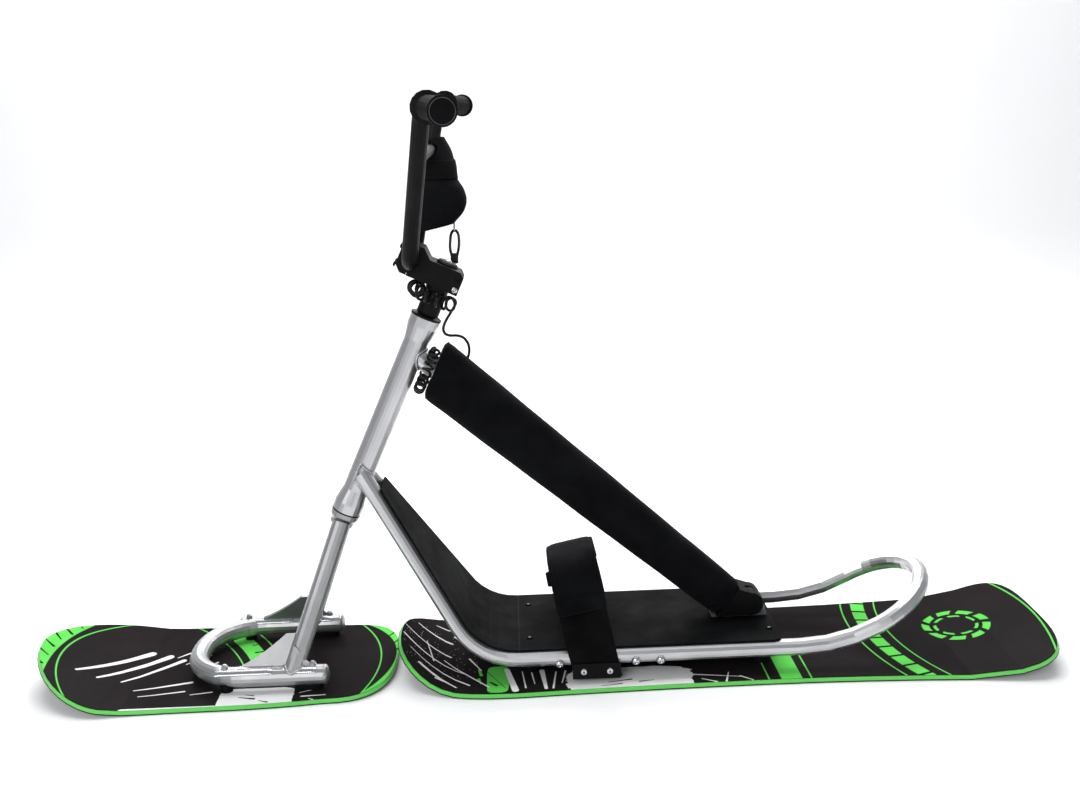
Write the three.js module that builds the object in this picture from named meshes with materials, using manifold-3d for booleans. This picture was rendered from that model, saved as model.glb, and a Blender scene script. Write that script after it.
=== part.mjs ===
// Snow scooter: two snowboards, a steered front fork and a bent tube frame
// Millimetres, +Z up, front at -X, the rider's left at -Y, boards stand on z = 0
import * as THREE from 'three';
import { mergeVertices } from 'three/addons/utils/BufferGeometryUtils.js';
import Module from 'manifold-3d';

const wasm = await Module();
wasm.setup();
const rad = THREE.MathUtils.degToRad;

// Clearances shared by all pieces
const seatGap = 0.3;
const cutOverrun = 4;
const weldGap = 1e-3;

// Boards
const frontBoardLength = 570;
const rearBoardLength = 1040;
const boardTipGap = 2;
const baseThickness = 1.5;
const coreThickness = 6;
const topThickness = 1;
const topInset = 1.2;
const frontBoard = {
  noseHalf: 150, waistHalf: 145, tailHalf: 135,
  noseLength: 128, tailLength: 106, noseRoundness: 1.8, tailRoundness: 2.8,
  noseKick: 56, noseKickLength: 187, tailKick: 5, tailKickLength: 91,
};
const rearBoard = {
  noseHalf: 144, waistHalf: 134, tailHalf: 154,
  noseLength: 190, tailLength: 80, noseRoundness: 2.7, tailRoundness: 3.4,
  noseKick: 46, noseKickLength: 103, tailKick: 39, tailKickLength: 162,
};
const boardTipSteps = 11;
const boardSideSteps = 10;
const tipTrimShare = 0.97;

// Steering axis and head tube
const rake = rad(25);
const headBottomX = -302;
const headBottomZ = 264;
const headLength = 333;
const headRadius = 19.2;
const headCupRadius = 23.4;
const headCupHeight = 14;
const headFlareHeight = 24;
const bearingRadius = 20.5;
const bearingHeight = 9;
const steererRadius = 14.3;
const steererBore = 11.5;
const headBoreGap = 2;
const sealHeight = 2.4;
const tubeSides = 16;
const latheSides = 24;
const boreSides = 12;
const screwSides = 10;
const stripCorners = 4;
// Round screw heads, as shares of their radius and height
const headWaistShare = 0.8;
const headCrownShare = 0.4;
const headShoulderShare = 0.7;

// Fork and foot
const crownRadius = 22.6;
const crownWaistRadius = 18.5;
const crownHeight = 21;
const legRadius = 14.8;
const legTopSpread = 15.2;
const legTopDrop = 14;
const footRadius = 15.2;
const footHalf = 96;
const footZ = 31;
const footRearX = -340;
const footFrontX = -552;
const footBendRadius = 88;
const legFootX = -391;
const frontBoltFrontX = -493;
const frontBoltRearX = -358;
const rearArmDamperX = -366;
const gussetThickness = 5;
const gussetHeight = 64;
const gussetFrontX = -468;
const gussetHollow = 7;
const gussetSegments = 6;
const frontDamperRadius = 9.5;
const rearArmDamperLength = 44;
const boltShankRadius = 4;
const boltHeadRadius = 6;
const boltHeadHeight = 7;
const boltBite = 4.5;

// Side rails with the tail loop
const railRadius = 13;
const railHalf = 102;
const railZ = 46;
const railHeadSpread = 13.5;
const railHeadRise = 68;
const railKneeX = -101;
const railKneeRadius = 107;
const tailBendX = 460.6;
const tailBendRadius = 257;
const tailRise = rad(28.5);
const tailRearX = 607.5;
const bendStep = rad(10);

// Cross members, deck and leg guard
const crossHeight = 22.5;
const crossFrontX = -22;
const crossFrontWidth = 34;
const crossRearX = 342;
const crossRearWidth = 50;
const deckThickness = 3;
const deckHalf = 108;
const deckFrontX = -38;
const deckRearX = 368;
const deckCornerRadius = 15;
const deckCornerSegments = 5;
const screwHeadRadius = 5;
const screwHeadHeight = 1.6;
const screwInset = 37;
const guardSeamGap = 1;
const guardTopZ = 304;
const guardTopHalf = 34;
const rearDamperRadius = 16;
const rearDamperWaistShare = 0.82;
const rearDamperY = 62;

// Strut, its sleeve, foot and bracket
const strutTopDrop = 56.4;
const strutTopAlong = headLength - strutTopDrop;
const strutAimX = 314.8;
const strutAimZ = 73.9;
const strutRadius = 16;
const sleeveStart = 44;
const sleeveTopHalf = { tall: 46, wide: 33 };
const sleeveEndHalf = { tall: 33, wide: 28 };
const sleeveShoeGap = 31;
const sleeveEdge = 5;
const sleeveRings = 10;
const shoeRadius = 19;
const shoeX = 335;
const shoeZ = 85.6;
const shoeHalfWidth = 24;
const shoeInset = 4;
const shoeStep = 15;
const bracketThickness = 4;
const bracketFrontX = 272;
const bracketRearX = 361;
const bracketTopZ = 82;
const bracketHalfWidth = 15;
const strutBoltHeadRadius = 7;
const strutBoltSink = 7;
const strutBoltDomeShare = 0.9;
const strutBoltReachShare = 0.7;

// Foot strap
const strapX = 81;
const strapTopX = 48;
const strapTopZ = 177.5;
const strapHalfWidth = 37;
const strapPadHalfWidth = 38.5;
const strapThickness = 3;
const strapPadThickness = 7;
const strapFootZ = 17;
const strapPlateHeight = 25;
const strapPlateHalf = 37;
const strapPlateThickness = 2.5;
const strapPlateDrop = 1;
const strapBoltPitch = 40;
const strapBoltRadius = 3;
const strapBoltHead = 5.6;
const strapBoltHeadHeight = 3.4;
const strapLugThickness = 4;
const strapPadShares = { from: 0.225, to: 0.775 };
const strapLapShare = 0.05;
const strapTurnShares = { start: 0.06, run: 0.12 };
const strapStepShare = 0.025;
const strapArchShares = [[1, 0], [1, 0.14], [0.995, 0.36], [0.9, 0.55], [0.7, 0.78], [0.4, 0.96], [0, 1]];

// Headset, stem and handlebar
const coverRadius = 24;
const coverHeight = 6;
const spacerRadius = 17.2;
const spacerCount = 3;
const headsetHeight = 51;
const stemAlong = headLength + headsetHeight;
const stemBarReach = 52;
const stemBarRise = 22;
const stemRear = 30;
const stemHeight = 35;
const stemHornHeight = 48;
const stemFront = 72;
const stemHalfWidth = 24;
const stemSlit = 2;
const barRadius = 12;
const barLean = rad(10.3);
const barLowerHalf = 52;
const barHalf = 360;
const barGripZone = 155;
const barUpperHalf = barHalf - barGripZone;
const barRise = 228;
const barSweep = rad(12);
const barDroop = rad(1.9);
const barLowerBend = 38;
const barUpperBend = 40;
const crossbarRise = 157;
const crossbarRadius = 8.5;
const crossbarSides = 12;
const gripRadius = 16;
const gripFlangeRadius = 22;
const gripFlangeWidth = 5;
const gripLength = 118;
const gripRibs = 7;
const gripRibDepth = 1.1;
const gripRibShares = { start: 0.25, high: 0.5, fall: 0.75, end: 0.99 };
const plugRadius = 19;
const plugThickness = 5;
const plugRimShare = 0.6;
const plugFaceShare = 0.86;
const capRadius = 17;
const capHeight = 5;

// Leash
const cordRadius = 2.2;
const cordSides = 5;
const curlSteps = 8;
const probeShare = 1e-3;
const upperCurls = 11;
const upperCurlRadius = 10.4;
const upperRouteRadius = 32;
const upperRouteStart = rad(90);
const upperRouteTurn = rad(255.6);
const lowerCurls = 15;
const lowerCurlRadius = 7.6;
const lowerRouteX = 32;
const lowerRouteRadius = 29.5;
const lowerRouteSag = 41;
const lowerRouteStart = rad(376);
const lowerRouteTurn = rad(-268);
const cordJointX = 30;
const cordJointLift = 3;
const cordJointAlong = headLength + cordJointLift;
const cuffWall = 4.5;
const cuffFront = 14;
const cuffSides = 20;
const cuffHemDrop = 13;
const cuffRoundness = 2.4;
// Height up the handlebar, inner reach behind the upright, inner half width
const cuffProfile = [
  [46, 52, 20], [62, 62, 21], [78, 64, 21], [94, 57, 20],
  [112, 43, 18], [132, 37, 17], [154, 28, 16.8], [174, 15, 16.4],
];
const ringRadius = 7;
const ringWireRadius = 1.3;
const ringWireSides = 6;
// The loop through the ring and the start of the way down, from the ring's middle
const tetherRoute = [
  [2.2, -38, -43], [6, -27, -30], [6.8, -14, -18], [4.8, -2, -7.5], [0, 0, -2.4],
  [-4.8, -2, -7.5], [-6.8, -15, -19], [-6.8, -28, -31], [-3.4, -38, -43], [-4.5, -46, -54],
];
// The loose bow over the sleeve's top end, from the joint: up the axis, behind it, to the side
const bowRoute = [
  [0, 0, 0], [-4.4, 0, 0], [-11, 1.5, -1], [-15.5, 7, -2], [-14.5, 15, -2.5], [-10.5, 24, -1.5],
  [-10, 34, 0.5], [-15.5, 43.5, 4], [-26, 50.5, 10], [-40, 53.5, 19.5], [-54, 52, 29],
  [-66, 45, 36], [-73.5, 33, 38.5], [-71.5, 18.5, 37.5],
];

// Colours
const paint = {
  aluminium: [0xb9bbbd, 0.38, 0.9],
  steel: [0xc8cacc, 0.25, 1],
  blackMetal: [0x141416, 0.45, 0.5],
  rubber: [0x151515, 0.85, 0],
  fabric: [0x121213, 0.95, 0],
  plastic: [0x17171a, 0.6, 0],
  boardTop: [0x231f20, 0.3, 0],
  boardSide: [0x5ac84f, 0.4, 0],
  boardBase: [0x1b1b1c, 0.35, 0],
};

const scooter = new THREE.Group();
const steeringFrame = new THREE.Group();
steeringFrame.position.set(headBottomX, 0, headBottomZ);
steeringFrame.rotation.y = rake;
steeringFrame.updateMatrixWorld();
scooter.add(steeringFrame);

// A closed mesh with shared corners, no empty triangles and its faces out
function weld(geometry) {
  geometry.deleteAttribute('normal');
  geometry.deleteAttribute('uv');
  const merged = mergeVertices(geometry, weldGap);
  const index = merged.getIndex().array;
  const at = merged.getAttribute('position');
  const kept = [];
  let volume = 0;
  for (let i = 0; i < index.length; i += 3) {
    const [a, b, c] = [index[i], index[i + 1], index[i + 2]];
    if (a === b || b === c || c === a) continue;
    kept.push(a, b, c);
    const pa = new THREE.Vector3().fromBufferAttribute(at, a);
    const pb = new THREE.Vector3().fromBufferAttribute(at, b);
    const pc = new THREE.Vector3().fromBufferAttribute(at, c);
    volume += pa.dot(pb.cross(pc));
  }
  merged.setIndex(volume < 0 ? kept.reverse() : kept);
  return merged;
}

function toSolid(geometry) {
  const closed = weld(geometry);
  const vertProperties = new Float32Array(closed.getAttribute('position').array);
  const triVerts = new Uint32Array(closed.getIndex().array);
  return new wasm.Manifold(new wasm.Mesh({ numProp: 3, vertProperties, triVerts }));
}

function toGeometry(solid) {
  const mesh = solid.getMesh();
  const geometry = new THREE.BufferGeometry();
  geometry.setAttribute('position', new THREE.BufferAttribute(mesh.vertProperties.slice(), 3));
  geometry.setIndex(new THREE.BufferAttribute(mesh.triVerts.slice(), 1));
  return geometry;
}

// The body less every cutter
function cut(geometry, cutters) {
  let solid = toSolid(geometry);
  for (const cutter of cutters) solid = solid.subtract(toSolid(cutter));
  return toGeometry(solid);
}

function join(geometry, others) {
  let solid = toSolid(geometry);
  for (const other of others) solid = solid.add(toSolid(other));
  return toGeometry(solid);
}

function addPiece(name, geometry, [color, roughness, metalness], parent = scooter) {
  const material = new THREE.MeshStandardMaterial({ color, roughness, metalness });
  const mesh = new THREE.Mesh(weld(geometry), material);
  mesh.name = name;
  parent.add(mesh);
  return mesh;
}

// A solid of revolution about Z from [radius, height] pairs
function lathe(profile, sides = latheSides) {
  const points = profile.map(([radius, height]) => new THREE.Vector2(radius, height));
  return new THREE.LatheGeometry(points, sides).rotateX(Math.PI / 2);
}

function disc(radius, low, high, sides = latheSides) {
  return lathe([[0, low], [radius, low], [radius, high], [0, high]], sides);
}

function ring(inner, outer, low, high, sides = latheSides) {
  return lathe([[inner, low], [outer, low], [outer, high], [inner, high], [inner, low]], sides);
}

// A prism of an [x, z] outline, as wide each way in Y as halfWidth
function sidePrism(outline, halfWidth) {
  const shape = new THREE.Shape(outline.map(([x, z]) => new THREE.Vector2(x, z)));
  const geometry = new THREE.ExtrudeGeometry(shape, { depth: 2 * halfWidth, bevelEnabled: false });
  return geometry.translate(0, 0, -halfWidth).rotateX(Math.PI / 2);
}

function box(sizeX, sizeY, sizeZ, x, y, z) {
  return new THREE.BoxGeometry(sizeX, sizeY, sizeZ).translate(x, y, z);
}

// A plug along Y, from side to side
function crossPlug(radius, fromY, toY, x, z, sides = tubeSides) {
  const plug = new THREE.CylinderGeometry(radius, radius, Math.abs(toY - fromY), sides);
  return plug.translate(x, (fromY + toY) / 2, z);
}

function placed(geometry, matrix) {
  return geometry.clone().applyMatrix4(matrix);
}

function axisPoint(along, behind = 0, side = 0) {
  return new THREE.Vector3(behind, side, along).applyMatrix4(steeringFrame.matrixWorld);
}

// Straights joined by round bends, with a ring only where the path starts, ends or bends
class BentPath extends THREE.Curve {
  constructor(corners, radii) {
    super();
    this.stations = [corners[0]];
    this.tangents = [corners[1].clone().sub(corners[0]).normalize()];
    for (let i = 1; i < corners.length - 1; i += 1) this.addBend(corners, i, radii[i - 1]);
    const last = corners[corners.length - 1];
    this.stations.push(last);
    this.tangents.push(last.clone().sub(corners[corners.length - 2]).normalize());
  }

  addBend(corners, i, radius) {
    const into = corners[i].clone().sub(corners[i - 1]).normalize();
    const out = corners[i + 1].clone().sub(corners[i]).normalize();
    const turn = into.angleTo(out);
    const reach = radius * Math.tan(turn / 2);
    const start = corners[i].clone().addScaledVector(into, -reach);
    const inward = out.clone().addScaledVector(into, -out.dot(into)).normalize();
    const steps = Math.max(2, Math.ceil(turn / bendStep));
    for (let k = 0; k <= steps; k += 1) {
      const angle = (turn * k) / steps;
      const point = start.clone().addScaledVector(into, radius * Math.sin(angle));
      point.addScaledVector(inward, radius * (1 - Math.cos(angle)));
      if (point.distanceTo(this.stations[this.stations.length - 1]) < seatGap) continue;
      this.stations.push(point);
      const tangent = into.clone().multiplyScalar(Math.cos(angle));
      this.tangents.push(tangent.addScaledVector(inward, Math.sin(angle)));
    }
  }

  station(share) {
    return Math.round(share * (this.stations.length - 1));
  }

  getPoint(share) {
    return this.stations[this.station(share)].clone();
  }

  getPointAt(share) {
    return this.getPoint(share);
  }

  getTangentAt(share) {
    return this.tangents[this.station(share)].clone();
  }
}

// A path through points worked out by a formula, one ring at each point
class PointPath extends BentPath {
  constructor(points) {
    super([points[0], points[1]], []);
    this.stations = points;
    this.tangents = points.map((point, i) => {
      const before = points[Math.max(0, i - 1)];
      const after = points[Math.min(points.length - 1, i + 1)];
      return after.clone().sub(before).normalize();
    });
  }
}

function sweep(path, radius, sides = tubeSides) {
  const corners = [];
  for (let i = 0; i < sides; i += 1) {
    const angle = (2 * Math.PI * (i + 0.5)) / sides;
    corners.push(new THREE.Vector2(radius * Math.cos(angle), radius * Math.sin(angle)));
  }
  const steps = path.stations.length - 1;
  const options = { steps, extrudePath: path, bevelEnabled: false };
  return new THREE.ExtrudeGeometry(new THREE.Shape(corners), options);
}

// A sheet carried along stations of { point, normal, side, half }, between two offsets
function strip(stations, low, high) {
  const positions = [];
  for (const { point, normal, side, half } of stations) {
    for (const [across, up] of [[-half, low], [half, low], [half, high], [-half, high]]) {
      const corner = point.clone().addScaledVector(side, across).addScaledVector(normal, up);
      positions.push(corner.x, corner.y, corner.z);
    }
  }
  return ringSolid(positions, stations.length, stripCorners);
}

// A closed solid from rings of the same number of corners
function ringSolid(positions, rings, corners) {
  const index = [];
  for (let r = 0; r < rings - 1; r += 1) {
    for (let c = 0; c < corners; c += 1) {
      const a = r * corners + c;
      const b = r * corners + ((c + 1) % corners);
      index.push(a, b, b + corners, a, b + corners, a + corners);
    }
  }
  const lastRing = (rings - 1) * corners;
  for (let c = 1; c < corners - 1; c += 1) {
    index.push(0, c + 1, c);
    index.push(lastRing, lastRing + c, lastRing + c + 1);
  }
  const geometry = new THREE.BufferGeometry();
  geometry.setAttribute('position', new THREE.Float32BufferAttribute(positions, 3));
  geometry.setIndex(index);
  return geometry;
}

// Boards: superellipse tips, a parabola for the side cut and one for each kick
function boardStations(noseX, length, board, inset) {
  const tailX = noseX + length;
  const noseEnd = noseX + board.noseLength;
  const tailStart = tailX - board.tailLength;
  const plan = [];
  const tip = (steps, reach, half, roundness, place) => {
    for (let i = 0; i <= steps; i += 1) {
      const angle = (Math.PI / 2) * tipTrimShare * (i / steps);
      const along = reach * Math.sin(angle) ** (2 / roundness);
      place(along, half * Math.cos(angle) ** (2 / roundness));
    }
  };
  tip(boardTipSteps, board.noseLength, board.noseHalf, board.noseRoundness,
    (along, half) => plan.unshift([noseEnd - along, half]));
  for (let i = 1; i < boardSideSteps; i += 1) {
    const share = i / boardSideSteps;
    const bow = (2 * share - 1) ** 2;
    const end = share < 0.5 ? board.noseHalf : board.tailHalf;
    plan.push([noseEnd + (tailStart - noseEnd) * share, board.waistHalf + (end - board.waistHalf) * bow]);
  }
  tip(boardTipSteps, board.tailLength, board.tailHalf, board.tailRoundness,
    (along, half) => plan.push([tailStart + along, half]));
  return plan.map(([x, half]) => {
    const nose = Math.max(0, (noseX + board.noseKickLength - x) / board.noseKickLength);
    const tail = Math.max(0, (x - tailX + board.tailKickLength) / board.tailKickLength);
    const slope = (2 * board.tailKick * tail) / board.tailKickLength
      - (2 * board.noseKick * nose) / board.noseKickLength;
    return {
      point: new THREE.Vector3(x, 0, board.noseKick * nose ** 2 + board.tailKick * tail ** 2),
      normal: new THREE.Vector3(-slope, 0, 1).normalize(),
      side: new THREE.Vector3(0, 1, 0),
      half: half - inset,
    };
  });
}

const totalLength = frontBoardLength + boardTipGap + rearBoardLength;
const frontNoseX = -totalLength / 2;
const rearNoseX = frontNoseX + frontBoardLength + boardTipGap;
const coreLow = baseThickness + seatGap;
const coreHigh = coreLow + coreThickness;
const topLow = coreHigh + seatGap;
const boardTopZ = topLow + topThickness;
const damperLow = boardTopZ + seatGap;

function addBoard(name, noseX, length, board, bolts) {
  const layer = (low, high, inset) => strip(boardStations(noseX, length, board, inset), low, high);
  const bores = (low) => bolts.map(([x, y]) =>
    disc(boltShankRadius + seatGap, low, boardTopZ + cutOverrun, boreSides).translate(x, y, 0));
  const boreBottom = coreHigh - boltBite - seatGap;
  addPiece(`${name}_base`, layer(0, baseThickness, 0), paint.boardBase);
  addPiece(`${name}_core`, cut(layer(coreLow, coreHigh, 0), bores(boreBottom)), paint.boardSide);
  addPiece(`${name}_top_sheet`, cut(layer(topLow, boardTopZ, topInset), bores(0)), paint.boardTop);
}

// Head tube with its cups, and the bearings in them
function addHeadTube() {
  const seat = bearingRadius + seatGap;
  const depth = bearingHeight + seatGap;
  const bore = steererRadius + headBoreGap;
  const profile = [
    [seat, 0], [headCupRadius, 0], [headCupRadius, headCupHeight],
    [headRadius, headCupHeight + headFlareHeight],
    [headRadius, headLength - headCupHeight - headFlareHeight],
    [headCupRadius, headLength - headCupHeight], [headCupRadius, headLength],
    [seat, headLength], [seat, headLength - depth], [bore, headLength - depth],
    [bore, depth], [seat, depth], [seat, 0],
  ];
  addPiece('head_tube', lathe(profile), paint.aluminium, steeringFrame);
  const inner = steererRadius + seatGap;
  const upper = ring(inner, bearingRadius, headLength - bearingHeight, headLength);
  addPiece('upper_bearing', upper, paint.steel, steeringFrame);
  const lower = lathe([
    [inner, -sealHeight], [headCupRadius, -sealHeight], [headCupRadius, -seatGap],
    [bearingRadius, -seatGap], [bearingRadius, bearingHeight], [inner, bearingHeight],
    [inner, -sealHeight],
  ]);
  addPiece('lower_bearing', lower, paint.blackMetal, steeringFrame);
}

// Fork: crown with its steerer, two legs, the horseshoe foot and its gussets
const crownTop = -sealHeight - seatGap;
const crownBottom = crownTop - crownHeight;
const steererTop = stemAlong + stemHeight - capHeight / 2;

function crownGeometry() {
  return lathe([
    [steererBore, crownBottom], [crownWaistRadius, crownBottom],
    [crownWaistRadius, crownBottom + crownHeight / 3],
    [crownRadius, crownTop - crownHeight / 3], [crownRadius, crownTop],
    [steererRadius, crownTop], [steererRadius, steererTop],
    [steererBore, steererTop], [steererBore, crownBottom],
  ]);
}

function footCorners() {
  return [
    new THREE.Vector3(footRearX, -footHalf, footZ), new THREE.Vector3(footFrontX, -footHalf, footZ),
    new THREE.Vector3(footFrontX, footHalf, footZ), new THREE.Vector3(footRearX, footHalf, footZ),
  ];
}

function footTube(grow) {
  return sweep(new BentPath(footCorners(), [footBendRadius, footBendRadius]), footRadius + grow);
}

function legTube(side, grow) {
  const top = axisPoint(crownTop - legTopDrop, 0, side * legTopSpread);
  const bottom = new THREE.Vector3(legFootX, side * footHalf, footZ);
  return sweep(new BentPath([top, bottom], []), legRadius + grow);
}

function gussetPlate(side) {
  const leg = axisPoint(crownTop - legTopDrop, 0, side * legTopSpread);
  const lean = Math.atan2(footHalf - Math.abs(leg.y), leg.z - footZ);
  const shape = new THREE.Shape();
  const legLean = (leg.x - legFootX) / Math.hypot(leg.z - footZ, footHalf - Math.abs(leg.y));
  shape.moveTo(legFootX, 0);
  shape.lineTo(legFootX + legLean * gussetHeight, gussetHeight);
  const topX = legFootX - legRadius / 2;
  const toeZ = footRadius + gussetThickness / 2;
  shape.lineTo(topX, gussetHeight);
  shape.quadraticCurveTo((topX + gussetFrontX) / 2, (gussetHeight + toeZ) / 2 - gussetHollow,
    gussetFrontX, toeZ);
  shape.lineTo(gussetFrontX, 0);
  const options = { depth: gussetThickness, bevelEnabled: false, curveSegments: gussetSegments };
  const plate = new THREE.ExtrudeGeometry(shape, options).translate(0, 0, -gussetThickness / 2);
  plate.rotateX(Math.PI / 2).rotateX(side * lean);
  return plate.translate(0, side * footHalf, footZ);
}

function addFork() {
  addPiece('fork_crown', crownGeometry(), paint.aluminium, steeringFrame);
  const taperCutter = placed(crownShell(seatGap), steeringFrame.matrixWorld);
  const bores = [];
  for (const side of [-1, 1]) {
    for (const x of [frontBoltFrontX, frontBoltRearX]) {
      bores.push(disc(boltShankRadius + seatGap, 0, footZ + footRadius + cutOverrun, boreSides)
        .translate(x, side * footHalf, 0));
    }
  }
  addPiece('foot_loop', cut(footTube(0), bores), paint.aluminium);
  for (const side of [-1, 1]) {
    const name = side < 0 ? 'left' : 'right';
    const other = legHalfSpace(side);
    addPiece(`fork_leg_${name}`, cut(legTube(side, 0), [taperCutter, footTube(seatGap), other]),
      paint.aluminium);
    addPiece(`fork_gusset_${name}`, cut(gussetPlate(side), [legTube(side, seatGap), footTube(seatGap)]),
      paint.aluminium);
  }
}

// The crown without its steerer, grown by a gap, closed down to the axis
function crownShell(grow) {
  return lathe([
    [0, crownBottom - grow], [crownWaistRadius + grow, crownBottom - grow],
    [crownWaistRadius + grow, crownBottom + crownHeight / 3],
    [crownRadius + grow, crownTop - crownHeight / 3], [crownRadius + grow, crownTop + cutOverrun],
    [0, crownTop + cutOverrun],
  ]);
}

// The space on the far side of the middle plane, so that two legs meet without overlap
function legHalfSpace(side) {
  const size = footHalf;
  return box(4 * size, 2 * size, 4 * size, headBottomX, -side * (size - seatGap / 2), headBottomZ);
}

function addFrontMounts() {
  for (const side of [-1, 1]) {
    const name = side < 0 ? 'left' : 'right';
    const y = side * footHalf;
    for (const [place, x, padX, length] of [
      ['front', frontBoltFrontX, frontBoltFrontX, 0],
      ['rear', frontBoltRearX, rearArmDamperX, rearArmDamperLength - 2 * frontDamperRadius],
    ]) {
      const high = footZ - footRadius / 2;
      let pad = disc(frontDamperRadius, damperLow, high, tubeSides).translate(padX + length / 2, y, 0);
      if (length > 0) {
        const block = box(length, 2 * frontDamperRadius, high - damperLow, padX, y, (high + damperLow) / 2);
        const round = disc(frontDamperRadius, damperLow, high, tubeSides).translate(padX - length / 2, y, 0);
        pad = join(pad, [block, round]);
      }
      const bore = disc(boltShankRadius + seatGap, 0, high + cutOverrun, boreSides).translate(x, y, 0);
      addPiece(`${place}_damper_${name}`, cut(pad, [footTube(seatGap), bore]), paint.rubber);
      const seat = footZ + footRadius + seatGap;
      const bolt = lathe([
        [0, coreHigh - boltBite], [boltShankRadius, coreHigh - boltBite], [boltShankRadius, seat],
        [boltHeadRadius, seat], [boltHeadRadius, seat + boltHeadHeight / 3],
        [boltHeadRadius * headWaistShare, seat + boltHeadHeight / 3],
        [boltHeadRadius * headWaistShare, seat + boltHeadHeight * headShoulderShare],
        [boltHeadRadius * headCrownShare, seat + boltHeadHeight], [0, seat + boltHeadHeight],
      ], boreSides);
      addPiece(`foot_bolt_${place}_${name}`, bolt.translate(x, y, 0), paint.steel);
    }
  }
}

// Side rails: down from the head tube, along the deck, and round the raised tail loop
function railCorners() {
  const meet = axisPoint(railHeadRise);
  const run = (tailRearX - tailBendX) * Math.tan(tailRise);
  const half = (side) => [
    new THREE.Vector3(meet.x, side * railHeadSpread, meet.z),
    new THREE.Vector3(railKneeX, side * railHalf, railZ),
    new THREE.Vector3(tailBendX, side * railHalf, railZ),
    new THREE.Vector3(tailRearX, side * railHalf, railZ + run),
  ];
  return [...half(-1), ...half(1).reverse()];
}

const railBends = [railKneeRadius, tailBendRadius, railHalf, railHalf, tailBendRadius, railKneeRadius];

function railTube(grow) {
  return sweep(new BentPath(railCorners(), railBends), railRadius + grow);
}

const strapBoltZ = strapFootZ + strapPlateHeight / 2 - strapPlateDrop;
const strapFootY = railHalf + railRadius + seatGap + strapThickness;

function strapFootX(z) {
  return strapX + ((strapTopX - strapX) * (z - strapFootZ)) / (strapTopZ - strapFootZ);
}

function addRails() {
  const lugs = [];
  const holes = [];
  const lugTop = railZ - railRadius / 2;
  for (const side of [-1, 1]) {
    const y = side * (railHalf + railRadius - seatGap - strapLugThickness / 2);
    const height = lugTop - strapFootZ;
    lugs.push(box(2 * strapBoltPitch - strapBoltHead, strapLugThickness, height,
      strapFootX(strapBoltZ), y, strapFootZ + height / 2));
    for (const shift of [-1, 1]) {
      const x = strapFootX(strapBoltZ) + (shift * strapBoltPitch) / 2;
      holes.push(crossPlug(strapBoltRadius + seatGap, y - side * cutOverrun, y + side * cutOverrun,
        x, strapBoltZ, boreSides));
    }
  }
  const headCutter = placed(disc(headRadius + seatGap, 0, headLength), steeringFrame.matrixWorld);
  const solid = cut(join(railTube(0), lugs), [headCutter, ...holes]);
  addPiece('side_rail_loop', solid, paint.aluminium);
}

const railTopZ = railZ + railRadius;
const deckLow = railTopZ + seatGap;
const deckTop = deckLow + deckThickness;
const bracketLow = deckTop + seatGap;
const crossLow = railTopZ - crossHeight;
const strutBoltX = shoeX;
const strutBoltLow = railTopZ - crossHeight * strutBoltReachShare;

function strutBoltBore(low, high) {
  return disc(boltShankRadius + seatGap, low, high, boreSides).translate(strutBoltX, 0, 0);
}

function addCrossMembers() {
  for (const [name, x, width] of [
    ['front', crossFrontX, crossFrontWidth], ['rear', crossRearX, crossRearWidth],
  ]) {
    const bar = box(width, 2 * railHalf, crossHeight, x, 0, crossLow + crossHeight / 2);
    const bore = strutBoltBore(strutBoltLow - seatGap, railTopZ + cutOverrun);
    const cutters = name === 'rear' ? [railTube(seatGap), bore] : [railTube(seatGap)];
    addPiece(`cross_member_${name}`, cut(bar, cutters), paint.aluminium);
    for (const side of [-1, 1]) {
      const hand = side < 0 ? 'left' : 'right';
      const waist = rearDamperRadius * rearDamperWaistShare;
      const high = crossLow - seatGap;
      const pad = lathe([
        [0, damperLow], [rearDamperRadius, damperLow], [waist, (damperLow + high) / 2],
        [rearDamperRadius, high], [0, high],
      ], tubeSides);
      addPiece(`deck_damper_${name}_${hand}`, pad.translate(x, side * rearDamperY, 0), paint.rubber);
    }
  }
}

// Deck: a flat sheet on the rails with round rear corners and its screw heads
function addDeck() {
  const shape = new THREE.Shape();
  const r = deckCornerRadius;
  shape.moveTo(deckFrontX, -deckHalf);
  shape.lineTo(deckRearX - r, -deckHalf);
  shape.absarc(deckRearX - r, -deckHalf + r, r, -Math.PI / 2, 0, false);
  shape.absarc(deckRearX - r, deckHalf - r, r, 0, Math.PI / 2, false);
  shape.lineTo(deckFrontX, deckHalf);
  const options = { depth: deckThickness, bevelEnabled: false, curveSegments: deckCornerSegments };
  const sheet = new THREE.ExtrudeGeometry(shape, options).translate(0, 0, deckLow);
  const heads = [];
  for (const x of [crossFrontX, crossRearX + crossRearWidth / 4]) {
    for (const side of [-1, 1]) {
      const head = disc(screwHeadRadius, deckTop - deckThickness / 2, deckTop + screwHeadHeight, screwSides);
      heads.push(head.translate(x, side * (railHalf - screwInset), 0));
    }
  }
  const deck = cut(join(sheet, heads), [strutBoltBore(0, deckTop + cutOverrun)]);
  addPiece('deck_panel', deck, paint.plastic);
}

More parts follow.
